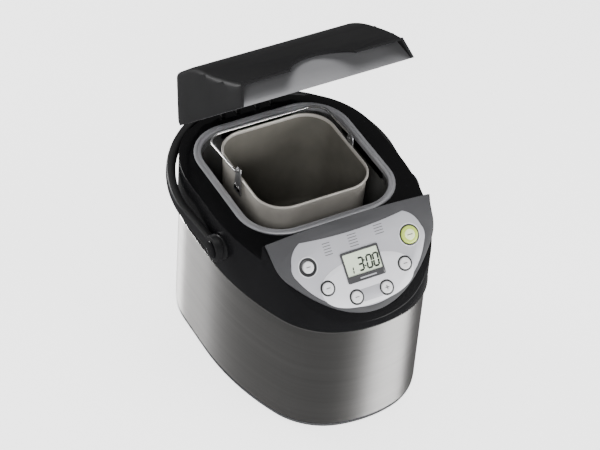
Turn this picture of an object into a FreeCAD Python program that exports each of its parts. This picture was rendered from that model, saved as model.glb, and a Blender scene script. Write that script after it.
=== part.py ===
import FreeCAD, Part
import math
import os

from FreeCAD import Placement, Rotation, Vector

# A bread machine, lid standing open: steel body, black upper housing with a sloping control
# panel, oven chamber with a lift-out pan and kneading paddle, belt drive, folding carry handle.
# Frame: X to the machine's right, Y to its back, Z up, table at Z = 0, millimetres.

doc = FreeCAD.newDocument("bread_machine")
sheet = doc.addObject("Spreadsheet::Sheet", "Sizes")

SIZES = {
    # plan outline of the body, measured from the chamber's plane of symmetry
    "body_half_width": 128.9,
    "body_front": 192.5,
    "body_rear": 164.0,
    "front_radius": 164.1,
    "corner_radius": 90.0,
    "side_radius": 335.0,
    "rear_radius": 106.0,
    # levels
    "foot_height": 6.0,
    "foot_radius": 11.0,
    "plinth_height": 4.0,
    "wrap_bottom": 8.0,
    "wrap_top": 168.0,
    "wrap_wall": 1.0,
    "deck_level": 241.0,
    "cowl_proud": 2.0,
    "cowl_wall": 3.0,
    "trough_front": 146.0,
    "trough_level": 230.0,
    # sloping control panel
    "panel_tilt": 43.0,
    "panel_ref_y": -130.0,
    "panel_ref_z": 244.9,
    "panel_thick": 4.5,
    "panel_rear_y": -104.0,
    "overlay_thick": 0.8,
    "small_button_radius": 7.2,
    "menu_button_radius": 7.2,
    "start_button_radius": 11.0,
    "button_proud": 2.2,
    "button_length": 7.0,
    "button_gap": 0.4,
    "lcd_width": 51.0,
    "lcd_height": 40.0,
    # oven chamber and its trim ring
    "chamber_y": 27.4,
    "chamber_half_width": 97.0,
    "chamber_half_depth": 98.9,
    "chamber_corner": 47.0,
    "chamber_floor": 98.0,
    "chamber_wall": 1.0,
    "rim_half_width": 106.0,
    "rim_half_depth": 107.9,
    "rim_corner": 55.4,
    "rim_top": 243.0,
    # bread pan
    "pan_rim_half": 77.0,
    "pan_foot_half": 70.0,
    "pan_rim_level": 254.0,
    "pan_bottom": 114.0,
    "pan_corner": 35.0,
    "pan_wall": 1.5,
    "pan_ring_radius": 36.0,
    "bail_pivot_y": 27.4,
    "bail_pivot_z": 262.0,
    "bail_wire": 1.6,
    "bail_half_width": 80.8,
    "bail_reach": 82.0,
    "bail_droop": 5.5,
    # drive
    "shaft_radius": 4.0,
    "running_gap": 0.05,
    "pulley_level": 40.0,
    "pulley_thick": 12.0,
    "big_pulley_radius": 45.0,
    "small_pulley_radius": 9.0,
    "motor_x": 40.0,
    "motor_y": -110.0,
    "motor_radius": 30.0,
    "motor_height": 62.0,
    # lid
    "lid_level": 243.5,
    "lid_front": 103.0,
    "lid_proud": 2.0,
    "lid_wall": 3.0,
    "lid_front_height": 26.5,
    "lid_rear_height": 62.0,
    "lid_draft": 15.0,
    "lid_slope_run": 130.0,
    "lid_hinge_y": 156.1,
    "lid_hinge_z": 250.5,
    "lid_open_angle": 43.3,
    # carry handle
    "handle_pivot_y": -30.0,
    "handle_pivot_z": 206.0,
    "handle_radius": 150.0,
    "handle_centre_y": 45.0,
    "handle_width": 12.0,
    "handle_height": 15.0,
    "handle_tilt": 5.0,
    "pivot_disc_radius": 17.0,
}

for row, (alias, value) in enumerate(SIZES.items(), start=1):
    sheet.set(f"A{row}", alias)
    sheet.set(f"B{row}", str(value))
    sheet.setAlias(f"B{row}", alias)
doc.recompute()


def size(alias):
    """A driving dimension, read back from the sheet."""
    return float(sheet.get(alias))


def bind(obj, prop, value):
    """Tie a property to the sheet when the value is words, or set it when it is a number."""
    if isinstance(value, str):
        words = value
        for alias in sorted(SIZES, key=len, reverse=True):
            words = words.replace(alias, f"<<{alias}>>")
        obj.setExpression(prop, words.replace("<<", "Sizes.").replace(">>", ""))
    else:
        setattr(obj, prop, value)


NODES = {}


def node(obj, label):
    """Mark an object as a finished sub-part; the label names its file."""
    obj.Label = label
    NODES[label] = obj
    return obj


# ---------------------------------------------------------------- outlines (sketch geometry)


def line(a, b):
    return Part.LineSegment(Vector(*a, 0), Vector(*b, 0))


def arc_about(centre, radius, start_deg, end_deg):
    """A counter-clockwise arc through three points on its circle."""
    cx, cy = centre
    stops = (start_deg, (start_deg + end_deg) / 2, end_deg)
    points = [
        Vector(cx + radius * math.cos(math.radians(t)), cy + radius * math.sin(math.radians(t)), 0)
        for t in stops
    ]
    return Part.Arc(*points)


def circle(centre, radius):
    return [Part.Circle(Vector(*centre, 0), Vector(0, 0, 1), radius)]


def polygon(points):
    return [line(a, b) for a, b in zip(points, points[1:] + points[:1])]


def round_rect(half_x, half_y, radius, centre=(0.0, 0.0)):
    cx, cy = centre
    dx, dy = half_x - radius, half_y - radius
    edges = []
    for index, (sx, sy) in enumerate(((1, 1), (-1, 1), (-1, -1), (1, -1))):
        edges.append(arc_about((cx + sx * dx, cy + sy * dy), radius, 90 * index, 90 * index + 90))
    edges.append(line((cx + dx, cy + half_y), (cx - dx, cy + half_y)))
    edges.append(line((cx - half_x, cy + dy), (cx - half_x, cy - dy)))
    edges.append(line((cx - dx, cy - half_y), (cx + dx, cy - half_y)))
    edges.append(line((cx + half_x, cy - dy), (cx + half_x, cy + dy)))
    return edges


def front_arcs():
    """Centres of the three tangent arcs of the front half, and the angles where they meet."""
    front_r, corner_r, side_r = size("front_radius"), size("corner_radius"), size("side_radius")
    front_c = Vector(0, front_r - size("body_front"), 0)
    side_c = Vector(size("body_half_width") - side_r, 0, 0)
    gap = side_c - front_c
    near, far = front_r - corner_r, side_r - corner_r
    along = (near**2 - far**2 + gap.Length**2) / (2 * gap.Length)
    across = math.sqrt(near**2 - along**2)
    unit = Vector(gap).normalize()
    left = Vector(-unit.y, unit.x, 0)
    corner_c = min((front_c + unit * along + left * s for s in (across, -across)), key=lambda p: p.y)
    to_corner = corner_c - front_c
    from_side = corner_c - side_c
    front_deg = math.degrees(math.atan2(to_corner.y, to_corner.x))
    side_deg = math.degrees(math.atan2(from_side.y, from_side.x))
    return front_c, corner_c, side_c, front_deg, side_deg


def body_outline(proud):
    """The body's plan outline, moved outwards by a distance: concentric arcs and short lines."""
    front_c, corner_c, side_c, front_deg, side_deg = front_arcs()
    half = size("body_half_width") + proud
    rear_r = size("rear_radius")
    rear_x = size("body_half_width") - rear_r
    rear_y = size("body_rear") - rear_r
    front_r, corner_r = size("front_radius") + proud, size("corner_radius") + proud
    side_r = size("side_radius") + proud
    edges = [
        arc_about((0, front_c.y), front_r, -180 - front_deg, front_deg),
        arc_about((corner_c.x, corner_c.y), corner_r, front_deg, side_deg),
        arc_about((side_c.x, 0), side_r, side_deg, 0),
        line((half, 0), (half, rear_y)),
        arc_about((rear_x, rear_y), rear_r + proud, 0, 90),
        line((rear_x, rear_y + rear_r + proud), (-rear_x, rear_y + rear_r + proud)),
        arc_about((-rear_x, rear_y), rear_r + proud, 90, 180),
        line((-half, rear_y), (-half, 0)),
        arc_about((-side_c.x, 0), side_r, 180, 180 - side_deg),
        arc_about((-corner_c.x, corner_c.y), corner_r, 180 - side_deg, 180 - front_deg),
    ]
    return edges


# ---------------------------------------------------------------- feature helpers


def origin_plane(body, role):
    return next(f for f in body.Origin.OriginFeatures if f.Role == role)


def sketch(body, geometry, level, plane="XY_Plane"):
    """A sketch on one of the body's own origin planes, raised along that plane's normal."""
    drawn = body.newObject("Sketcher::SketchObject", "Sketch")
    drawn.AttachmentSupport = [(origin_plane(body, plane), "")]
    drawn.MapMode = "FlatFace"
    if isinstance(level, str):
        bind(drawn, "AttachmentOffset.Base.z", level)
    else:
        drawn.AttachmentOffset = Placement(Vector(0, 0, level), Rotation())
    drawn.addGeometry(geometry, False)
    return drawn


def new_body(name):
    return doc.addObject("PartDesign::Body", name)


def add_pad(body, geometry, level, length, plane="XY_Plane", both=False):
    profile = sketch(body, geometry, level, plane)
    pad = body.newObject("PartDesign::Pad", "Pad")
    pad.Profile = profile
    bind(pad, "Length", length)
    if both:
        pad.SideType = "Symmetric"
    body.Tip = pad
    return pad


def pad_body(name, geometry, level, length, plane="XY_Plane", both=False):
    body = new_body(name)
    add_pad(body, geometry, level, length, plane, both)
    return body


def loft_body(name, sections, ruled=True):
    """A body lofted through (geometry, level) sections."""
    body = new_body(name)
    drawn = [sketch(body, geometry, level) for geometry, level in sections]
    loft = body.newObject("PartDesign::AdditiveLoft", "Loft")
    loft.Profile = drawn[0]
    loft.Sections = drawn[1:]
    loft.Ruled = ruled
    body.Tip = loft
    return body


def cylinder(name, radius, length, base, axis=(0, 0, 1)):
    made = doc.addObject("Part::Cylinder", name)
    bind(made, "Radius", radius)
    bind(made, "Height", length)
    made.Placement = Placement(Vector(*base), Rotation(Vector(0, 0, 1), Vector(*axis)))
    return made


def box(name, sizes, corner):
    made = doc.addObject("Part::Box", name)
    for prop, value in zip(("Length", "Width", "Height"), sizes):
        bind(made, prop, value)
    made.Placement = Placement(Vector(*corner), Rotation())
    return made


def torus(name, major, minor, centre, axis=(0, 0, 1)):
    made = doc.addObject("Part::Torus", name)
    bind(made, "Radius1", major)
    bind(made, "Radius2", minor)
    made.Placement = Placement(Vector(*centre), Rotation(Vector(0, 0, 1), Vector(*axis)))
    return made


def fuse(name, *parts):
    made = doc.addObject("Part::MultiFuse", name)
    made.Shapes = list(parts)
    return made


def cut(name, base, *tools):
    """Base less every tool, one after the other."""
    for index, tool in enumerate(tools):
        made = doc.addObject("Part::Cut", f"{name}_{index}")
        made.Base = base
        made.Tool = tool
        base = made
    return base


def common(name, first, second):
    made = doc.addObject("Part::MultiCommon", name)
    made.Shapes = [first, second]
    return made


def group(name, *parts):
    """Several separate solids that share one node, such as identical fasteners."""
    made = doc.addObject("Part::Compound", name)
    made.Links = list(parts)
    return made


def wire_sweep(name, points, radius, closed=False):
    """A bent wire or tube: straight runs joined by the arcs already in the list of edges."""
    path = doc.addObject("Part::Feature", f"{name}_path")
    path.Shape = Part.Wire([edge.toShape() for edge in points])
    first = path.Shape.Edges[0]
    start = first.valueAt(first.FirstParameter)
    tangent = first.tangentAt(first.FirstParameter)
    ring = doc.addObject("Part::Circle", f"{name}_section")
    ring.Radius = radius
    ring.Placement = Placement(start, Rotation(Vector(0, 0, 1), tangent))
    swept = doc.addObject("Part::Sweep", name)
    swept.Sections = [ring]
    swept.Spine = (path, [f"Edge{i + 1}" for i in range(len(path.Shape.Edges))])
    swept.Solid = True
    swept.Transition = "Round corner"
    return swept


def edge_path(points, radii):
    """Straight runs through the points, each inner corner rounded by an arc of its own radius."""
    points = [Vector(*p) for p in points]
    edges = []
    last = points[0]
    for before, here, after, radius in zip(points, points[1:], points[2:], radii):
        to_before, to_after = (before - here).normalize(), (after - here).normalize()
        half = math.acos(max(-1, min(1, to_before.dot(to_after)))) / 2
        back = radius / math.tan(half)
        start, end = here + to_before * back, here + to_after * back
        middle_way = (to_before + to_after).normalize()
        middle = here + middle_way * (radius / math.sin(half) - radius)
        edges.append(Part.LineSegment(last, start))
        edges.append(Part.Arc(start, middle, end))
        last = end
    edges.append(Part.LineSegment(last, points[-1]))
    return edges


# ---------------------------------------------------------------- base, feet, steel body

WRAP_HEIGHT = "wrap_top - wrap_bottom"

base_floor = pad_body("base_floor", body_outline(-0.4), "foot_height - 2", "plinth_height")
base_wall_out = pad_body("base_wall_out", body_outline(-1.3), "foot_height + 1", 16.0)
base_wall_in = pad_body("base_wall_in", body_outline(-3.6), "foot_height + 2", 16.0)
vent_slots = [
    box(f"vent_{i}", (4.0, 46.0, 8.0), (-72 + 12 * i, 62, 2)) for i in range(6)
]
base_ring = cut("base_ring", base_wall_out, base_wall_in)
base_solid = fuse("base_solid", base_floor, base_ring)
node(cut("base_plate", base_solid, *vent_slots), "base_plate")

FOOT_PLACES = [(-88, -110), (88, -110), (-88, 105), (88, 105)]
node(
    group(
        "feet",
        *[
            cylinder(f"foot_{i}", "foot_radius", "foot_height - 2", (x, y, 0))
            for i, (x, y) in enumerate(FOOT_PLACES)
        ],
    ),
    "rubber_feet",
)

GLAND_X, GLAND_Z = 0.0, 36.0
wrap_outer = pad_body("wrap_outer", body_outline(0.0), "wrap_bottom", WRAP_HEIGHT)
wrap_inner = pad_body("wrap_inner", body_outline(-size("wrap_wall")), 0.0, "wrap_top + 20")
inlet_hole = cylinder("inlet_hole", 9.0, 30.0, (GLAND_X, 150, GLAND_Z), (0, 1, 0))
node(cut("steel_wrap", wrap_outer, wrap_inner, inlet_hole), "steel_wrap")

# the gland where the mains lead enters the rear wall
REAR = size("body_rear")
gland_flange = cylinder("gland_flange", 12.0, 3.0, (GLAND_X, REAR, GLAND_Z), (0, 1, 0))
gland_barrel = cylinder("gland_barrel", 8.6, 20.0, (GLAND_X, REAR - 12.0, GLAND_Z), (0, 1, 0))
gland_bore = cylinder("gland_bore", 4.0, 40.0, (GLAND_X, REAR - 20.0, GLAND_Z), (0, 1, 0))

# ---------------------------------------------------------------- upper housing

TILT = math.radians(size("panel_tilt"))
PANEL_REF = Vector(0, size("panel_ref_y"), size("panel_ref_z"))


def slope_level(y, below):
    """Height of the sloping plane at y, a distance below the panel's face."""
    drop = below / math.cos(TILT)
    return PANEL_REF.z - drop + (y - PANEL_REF.y) * math.tan(TILT)


def housing_block(name, proud, below_face, deck_drop, block_rear, trough_front):
    """The housing's outer form, or its hollow: a prism cut by the slope, the deck and the trough."""
    deck = size("deck_level") - deck_drop
    trough = size("trough_level") - deck_drop
    bottom = size("wrap_top")
    front, rear = -260.0, 220.0
    slope_front_y = PANEL_REF.y + (bottom - slope_level(PANEL_REF.y, below_face)) / math.tan(TILT)
    profile = [
        (slope_front_y, bottom),
        (block_rear, slope_level(block_rear, below_face)),
        (block_rear, deck),
        (trough_front, deck),
        (trough_front, trough),
        (rear, trough),
        (rear, bottom),
    ]
    if slope_front_y < front:
        raise ValueError("the slope starts outside the housing")
    prism = pad_body(f"{name}_prism", body_outline(proud), "wrap_top", 110.0)
    side = pad_body(f"{name}_side", polygon(profile), 0.0, 400.0, "YZ_Plane", both=True)
    return common(name, prism, side)


PANEL_SEAT = size("panel_thick")
housing_outer = housing_block(
    "housing_outer", size("cowl_proud"), PANEL_SEAT, 0.0, size("panel_rear_y"), size("trough_front")
)
housing_inner = housing_block(
    "housing_inner",
    size("cowl_proud") - size("cowl_wall"),
    PANEL_SEAT + size("cowl_wall"),
    size("cowl_wall"),
    size("panel_rear_y") - size("cowl_wall"),
    size("trough_front") - size("cowl_wall"),
)
CHAMBER = (0.0, size("chamber_y"))
ring_hole = pad_body(
    "ring_hole",
    round_rect(size("chamber_half_width") + 3.0, size("chamber_half_depth") + 3.0, 49.0, CHAMBER),
    200.0,
    80.0,
)

# panel features lie in the panel's own frame: x across, y up the slope, z out of its face
PANEL_PLACE = Placement(PANEL_REF, Rotation(Vector(1, 0, 0), size("panel_tilt")))
SMALL_BUTTONS = {
    "button_crust": (-52.5, -39.6),
    "button_minus": (-20.4, -60.0),
    "button_plus": (20.4, -60.0),
    "button_timer": (52.5, -39.6),
}
MENU_BUTTON = (-68.6, -8.8)
START_BUTTON = (69.5, -8.6)
LCD_CENTRE = (0.0, -24.5)


def on_panel(obj):
    obj.Placement = PANEL_PLACE
    return obj


def button_bores(prefix, extra, depth_below, height):
    """Round holes for the six buttons, through whatever lies on the slope."""
    bores = []
    places = list(SMALL_BUTTONS.values()) + [MENU_BUTTON, START_BUTTON]
    radii = ["small_button_radius"] * 4 + ["menu_button_radius", "start_button_radius"]
    for index, (place, radius) in enumerate(zip(places, radii)):
        profile = circle(place, size(radius) + extra)
        bores.append(on_panel(pad_body(f"{prefix}_{index}", profile, -depth_below, height)))
    return bores


BORE_CLEARANCE = size("button_gap")
lcd_window = on_panel(
    pad_body("lcd_window", round_rect(21.5, 14.5, 1.0, LCD_CENTRE), -30.0, 60.0)
)
panel_bores = button_bores("bore", BORE_CLEARANCE, 30.0, 60.0)
all_bores = fuse("all_bores", *panel_bores)
cowl = cut("cowl", housing_outer, housing_inner, ring_hole, lcd_window, all_bores)
node(cowl, "upper_housing")

# ---------------------------------------------------------------- control panel


def shield(inset, rear_bulge):
    """The panel's shield outline: nearly straight flanks, one deep lower sweep, a bowed rear edge."""
    left_rear = (-111.0 + inset, 34.0 - inset)
    right_rear = (111.0 - inset, 34.0 - inset)
    left_flank = (-107.5 + inset, 4.0)
    right_flank = (107.5 - inset, 4.0)
    bottom = (0.0, -81.5 + inset)
    low_left = (-74.0 + inset * 0.7, -49.0 + inset * 0.7)
    low_right = (74.0 - inset * 0.7, -49.0 + inset * 0.7)
    points = [Vector(*p, 0) for p in (left_flank, low_left, bottom, low_right, right_flank)]
    sweep = Part.BSplineCurve()
    start, end = Vector(14, -46, 0), Vector(14, 46, 0)
    sweep.interpolate(points, InitialTangent=start, FinalTangent=end)
    rear_mid = Vector(0, left_rear[1] + rear_bulge, 0)
    rear = Part.Arc(Vector(*right_rear, 0), rear_mid, Vector(*left_rear, 0))
    return [sweep, line(right_flank, right_rear), rear, line(left_rear, left_flank)]


REAR_BOW = 7.0
panel_blank = on_panel(pad_body("panel_blank", shield(0.0, REAR_BOW), -PANEL_SEAT, "panel_thick"))
# the finger scoop: a shallow dished hollow in front of the rear edge
scoop = doc.addObject("Part::Sphere", "scoop")
scoop.Radius = 201.0
scoop.Placement = PANEL_PLACE.multiply(Placement(Vector(0, 120.0, 178.0), Rotation()))
scoop_band = on_panel(
    pad_body("scoop_band", polygon([(-60, 12), (60, 12), (60, 60), (-60, 60)]), -10.0, 20.0)
)
finger_scoop = common("finger_scoop", scoop, scoop_band)
overlay_seat = size("overlay_thick")


def overlay_outline(inset):
    """The silver overlay: shoulders at both upper ends, dipping between them, and a round bottom."""
    dip = Part.Arc(Vector(70, 21.5 - inset, 0), Vector(0, 17.0 - inset, 0), Vector(-70, 21.5 - inset, 0))
    left = [
        Part.Arc(Vector(-70, 21.5 - inset, 0), Vector(-80 + inset, 14.5, 0), Vector(-88 + inset, -1, 0)),
        Part.Arc(Vector(-88 + inset, -1, 0), Vector(-90 + inset, -10, 0), Vector(-86.5 + inset, -20, 0)),
    ]
    right = [
        Part.Arc(Vector(86.5 - inset, -20, 0), Vector(90 - inset, -10, 0), Vector(88 - inset, -1, 0)),
        Part.Arc(Vector(88 - inset, -1, 0), Vector(80 - inset, 14.5, 0), Vector(70, 21.5 - inset, 0)),
    ]
    bottom = Part.Arc(
        Vector(-86.5 + inset, -20, 0), Vector(0, -74.5 + inset, 0), Vector(86.5 - inset, -20, 0)
    )
    return [dip, *left, bottom, *right]


overlay_pocket = on_panel(
    pad_body("overlay_pocket", overlay_outline(0.0), -overlay_seat, 10.0)
)
panel_window = on_panel(pad_body("panel_window", round_rect(25.5, 20.0, 1.5, LCD_CENTRE), -30.0, 60.0))
# the rear edge stops short of the shut lid's front lip
PANEL_END_Y = size("panel_rear_y") - 0.3
panel_end = box("panel_end", (300.0, 60.0, 90.0), (-150, PANEL_END_Y, 220))
panel_cut = cut(
    "control_panel", panel_blank, finger_scoop, overlay_pocket, panel_window, all_bores, panel_end
)
node(panel_cut, "control_panel")

overlay_blank = on_panel(
    pad_body("overlay_blank", overlay_outline(0.15), -overlay_seat, "overlay_thick")
)
node(cut("overlay", overlay_blank, panel_window, all_bores), "panel_overlay")

# the display: a dark bezel with a window, its lens, and the module behind it
bezel_blank = on_panel(pad_body("bezel_blank", round_rect(25.3, 19.8, 1.5, LCD_CENTRE), -4.5, 5.7))
bezel_hole = on_panel(pad_body("bezel_hole", round_rect(21.4, 12.0, 0.8, (0.0, -22.0)), -10.0, 20.0))
node(cut("display_bezel", bezel_blank, bezel_hole), "display_bezel")
node(on_panel(pad_body("lens", round_rect(21.3, 11.9, 0.7, (0.0, -22.0)), -1.2, 1.6)), "display_lens")
node(
    on_panel(pad_body("module", round_rect(21.2, 11.8, 0.5, (0.0, -22.0)), -6.5, 5.0)),
    "display_module",
)

# buttons: a plain cap that slides through the panel on a wider hidden skirt
BUTTON_NODES = dict(SMALL_BUTTONS, button_menu=MENU_BUTTON, button_start=START_BUTTON)
BUTTON_RADII = {"button_menu": "menu_button_radius", "button_start": "start_button_radius"}
SKIRT_TOP = -(PANEL_SEAT + size("cowl_wall") + 0.6)
for label, place in BUTTON_NODES.items():
    radius = BUTTON_RADII.get(label, "small_button_radius")
    cap = new_body(f"{label}_cap")
    add_pad(cap, circle(place, size(radius)), SKIRT_TOP - 0.1, size("button_proud") - SKIRT_TOP + 0.1)
    add_pad(cap, circle(place, size(radius) + 2.0), SKIRT_TOP - 2.0, 2.0)
    node(on_panel(cap), label)

# raised rings printed round the buttons
ring_solids = []
for index, (label, place) in enumerate(BUTTON_NODES.items()):
    inner = size(BUTTON_RADII.get(label, "small_button_radius")) + BORE_CLEARANCE
    width = 3.6 if label == "button_menu" else 1.6
    ring = new_body(f"ring_{index}")
    add_pad(ring, circle(place, inner + width) + circle(place, inner), 0.0, 0.6)
    ring_solids.append(on_panel(ring))
node(group("button_rings", *ring_solids), "button_rings")

BOARD_DEPTH = 22.0
node(
    on_panel(pad_body("board", polygon([(-84, -52), (84, -52), (84, 12), (-84, 12)]), -BOARD_DEPTH, 1.6)),
    "circuit_board",
)
board_posts = [
    on_panel(pad_body(f"post_{i}", circle((x, y), 3.5), -BOARD_DEPTH + 1.6, BOARD_DEPTH - 1.6 - 7.9))
    for i, (x, y) in enumerate(((-77, -46), (77, -46), (-77, 8), (77, 8)))
]
node(group("board_posts", *board_posts), "board_posts")

# ---------------------------------------------------------------- oven chamber

FLOOR = size("chamber_floor")
WALL = size("chamber_wall")
HALF_X, HALF_Y = size("chamber_half_width"), size("chamber_half_depth")
CORNER = size("chamber_corner")
liner_outer = pad_body(
    "liner_outer", round_rect(HALF_X + WALL, HALF_Y + WALL, CORNER + WALL, CHAMBER), FLOOR - WALL, 140.0
)
liner_inner = pad_body("liner_inner", round_rect(HALF_X, HALF_Y, CORNER, CHAMBER), "chamber_floor", 160.0)
shaft_hole = cylinder("shaft_hole", 12.0, 40.0, (*CHAMBER, 80))
heater_holes = [
    cylinder(f"heater_hole_{i}", 4.2, 30.0, (x, 150, 118), (0, -1, 0)) for i, x in enumerate((-24, 24))
]
sensor_hole = cylinder("sensor_hole", 3.2, 30.0, (-110, 27.4, 150), (1, 0, 0))
node(
    cut("oven_chamber", liner_outer, liner_inner, shaft_hole, *heater_holes, sensor_hole),
    "oven_chamber",
)

RIM_TOP = size("rim_top")
rim_plate = pad_body(
    "rim_plate",
    round_rect(size("rim_half_width"), size("rim_half_depth"), size("rim_corner"), CHAMBER),
    "deck_level",
    "rim_top - deck_level",
)
rim_skirt = pad_body("rim_skirt", round_rect(HALF_X + 2.6, HALF_Y + 2.6, CORNER + 2.6, CHAMBER), 226.0, 15.5)
rim_hole = pad_body("rim_hole", round_rect(HALF_X, HALF_Y, CORNER, CHAMBER), 200.0, 60.0)
rim_seat = pad_body(
    "rim_seat", round_rect(HALF_X + WALL, HALF_Y + WALL, CORNER + WALL, CHAMBER), 200.0, FLOOR + 139.0 - 200.0
)
rim_solid = fuse("rim_solid", rim_plate, rim_skirt)
rim_outer_cut = cut("chamber_rim", rim_solid, rim_hole, rim_seat)
node(rim_outer_cut, "chamber_rim")

# heating element: one bent tube round the pan's foot, both ends leaving through the rear wall
HEATER_LEVEL = 118.0
heater_path = edge_path(
    [
        (-24, 148, HEATER_LEVEL),
        (-24, 118, HEATER_LEVEL),
        (-86, 118, HEATER_LEVEL),
        (-86, -63, HEATER_LEVEL),
        (86, -63, HEATER_LEVEL),
        (86, 118, HEATER_LEVEL),
        (24, 118, HEATER_LEVEL),
        (24, 148, HEATER_LEVEL),
    ],
    (8.0, 41.0, 41.0, 41.0, 41.0, 8.0),
)
node(wire_sweep("heater", heater_path, 3.2), "heating_element")

node(cylinder("sensor", 3.0, 22.0, (-104, 27.4, 150), (1, 0, 0)), "temperature_sensor")

# socket that holds the pan's foot ring on the chamber floor
socket_ring = cylinder("socket_ring", "pan_ring_radius + 4.5", 9.0, (*CHAMBER, FLOOR))
socket_bore = cylinder("socket_bore", "pan_ring_radius + 0.6", 20.0, (*CHAMBER, FLOOR + 2.0))
socket_centre = cylinder("socket_centre", 14.0, 20.0, (*CHAMBER, FLOOR - 5))
node(cut("pan_socket", socket_ring, socket_bore, socket_centre), "pan_socket")

# ---------------------------------------------------------------- drive

SHAFT_GAP = size("running_gap")
PULLEY_Z = size("pulley_level")
PULLEY_T = size("pulley_thick")
bearing_tube = cylinder("bearing_tube", 11.5, 42.0, (*CHAMBER, FLOOR - 41.0))
bearing_flange = cylinder("bearing_flange", 26.0, 3.0, (*CHAMBER, FLOOR - 3.0 - WALL))
bearing_bore = cylinder("bearing_bore", "shaft_radius + running_gap", 80.0, (*CHAMBER, 40))
bearing = cut("bearing", fuse("bearing_solid", bearing_tube, bearing_flange), bearing_bore)
node(bearing, "drive_bearing")

# frame rails that carry the bearing across the base
rail_bar = box("rail_bar", (180.0, 40.0, 3.0), (-90, size("chamber_y") - 20, FLOOR - 6.0 - WALL))
rail_legs = [
    box(f"rail_leg_{i}", (3.0, 40.0, 84.0), (x, size("chamber_y") - 20, 8)) for i, x in enumerate((-90, 87))
]
rail_gap = cylinder("rail_gap", 11.8, 30.0, (*CHAMBER, 80))
node(cut("bridge", fuse("bridge_solid", rail_bar, *rail_legs), rail_gap), "bearing_bridge")

shaft = cylinder("drive_rod", "shaft_radius", FLOOR + 7.0 - PULLEY_Z + 2.0, (*CHAMBER, PULLEY_Z - 2.0))
node(shaft, "drive_shaft")
DOG_LEVEL = FLOOR + 2.0
dog_hub = cylinder("dog_hub", 10.0, 8.0, (*CHAMBER, DOG_LEVEL))
dog_bore = cylinder("dog_bore", "shaft_radius", 30.0, (*CHAMBER, 90))
dog_slot = box("dog_slot", (40.0, 5.0, 10.0), (-20, size("chamber_y") - 2.5, DOG_LEVEL + 5.0))
node(cut("drive_dog", dog_hub, dog_bore, dog_slot), "drive_coupling")

big_disc = cylinder("big_disc", "big_pulley_radius", "pulley_thick", (*CHAMBER, PULLEY_Z))
big_groove = torus("big_groove", "big_pulley_radius + 2.0", 4.0, (*CHAMBER, PULLEY_Z + PULLEY_T / 2))
big_bore = cylinder("big_bore", "shaft_radius", 40.0, (*CHAMBER, 30))
spoke_holes = [
    cylinder(
        f"spoke_{i}",
        8.5,
        40.0,
        (
            26.0 * math.cos(math.radians(60 * i)),
            size("chamber_y") + 26.0 * math.sin(math.radians(60 * i)),
            30.0,
        ),
    )
    for i in range(6)
]
node(cut("big_pulley", big_disc, big_groove, big_bore, *spoke_holes), "large_pulley")

MOTOR = (size("motor_x"), size("motor_y"))
motor_can = cylinder("motor_can", "motor_radius", "motor_height", (*MOTOR, 62))
motor_flange = box("motor_flange", (76.0, 76.0, 3.0), (MOTOR[0] - 38, MOTOR[1] - 38, 59))
motor_bore = cylinder("motor_bore", 3.0 + SHAFT_GAP, 40.0, (*MOTOR, 30))
node(cut("motor", fuse("motor_solid", motor_can, motor_flange), motor_bore), "motor")
node(
    cut(
        "motor_pulley_solid",
        cylinder("small_disc", "small_pulley_radius", "pulley_thick", (*MOTOR, PULLEY_Z)),
        torus("small_groove", "small_pulley_radius + 2.0", 4.0, (*MOTOR, PULLEY_Z + PULLEY_T / 2)),
        cylinder("small_bore", 3.0, 40.0, (*MOTOR, 30)),
    ),
    "motor_pulley",
)
node(cylinder("motor_rod", 3.0, 32.0, (*MOTOR, PULLEY_Z - 2.0)), "motor_shaft")
motor_legs = [
    cylinder(f"motor_leg_{i}", 4.0, 51.0, (MOTOR[0] + dx, MOTOR[1] + dy, 8.0))
    for i, (dx, dy) in enumerate(((-33, -33), (33, -33), (-33, 4), (33, 33)))
]
node(group("motor_posts", *motor_legs), "motor_posts")


def belt_outline(gap, section):
    """A flat loop round both pulleys: two outer tangents and two arcs."""
    big = size("big_pulley_radius") + gap + section
    small = size("small_pulley_radius") + gap + section
    from_c = Vector(*CHAMBER, 0)
    to_c = Vector(*MOTOR, 0)
    span = to_c - from_c
    heading = math.degrees(math.atan2(span.y, span.x))
    lean = math.degrees(math.acos((big - small) / span.Length))
    big_arc = arc_about(CHAMBER, big, heading + lean, heading + 360 - lean)
    small_arc = arc_about(MOTOR, small, heading - lean, heading + lean)
    return [
        big_arc,
        Part.LineSegment(big_arc.EndPoint, small_arc.StartPoint),
        small_arc,
        Part.LineSegment(small_arc.EndPoint, big_arc.StartPoint),
    ]


belt = new_body("belt")
BELT_SEAT = -0.9
add_pad(belt, belt_outline(BELT_SEAT, 1.8) + belt_outline(BELT_SEAT, 0.0), PULLEY_Z + PULLEY_T / 2 - 2.5, 5.0)
node(belt, "drive_belt")

node(
    cut(
        "gland",
        fuse("gland_solid", gland_flange, gland_barrel),
        gland_bore,
    ),
    "cord_gland",
)
node(box("power_board", (62.0, 50.0, 2.0), (-95, -115, 16)), "power_board")
node(box("transformer", (34.0, 30.0, 28.0), (-88, -105, 18.0)), "transformer")
board_feet = [
    cylinder(f"board_foot_{i}", 3.0, 8.0, (x, y, 8.0))
    for i, (x, y) in enumerate(((-90, -110), (-38, -110), (-90, -70), (-38, -70)))
]
node(group("power_board_posts", *board_feet), "power_board_posts")

# ---------------------------------------------------------------- bread pan, bail and paddle

PAN_Z = size("pan_bottom")
PAN_RIM = size("pan_rim_level")
TOP_HALF, FOOT_HALF, PAN_WALL = size("pan_rim_half"), size("pan_foot_half"), size("pan_wall")
PAN_CORNER = size("pan_corner")


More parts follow.
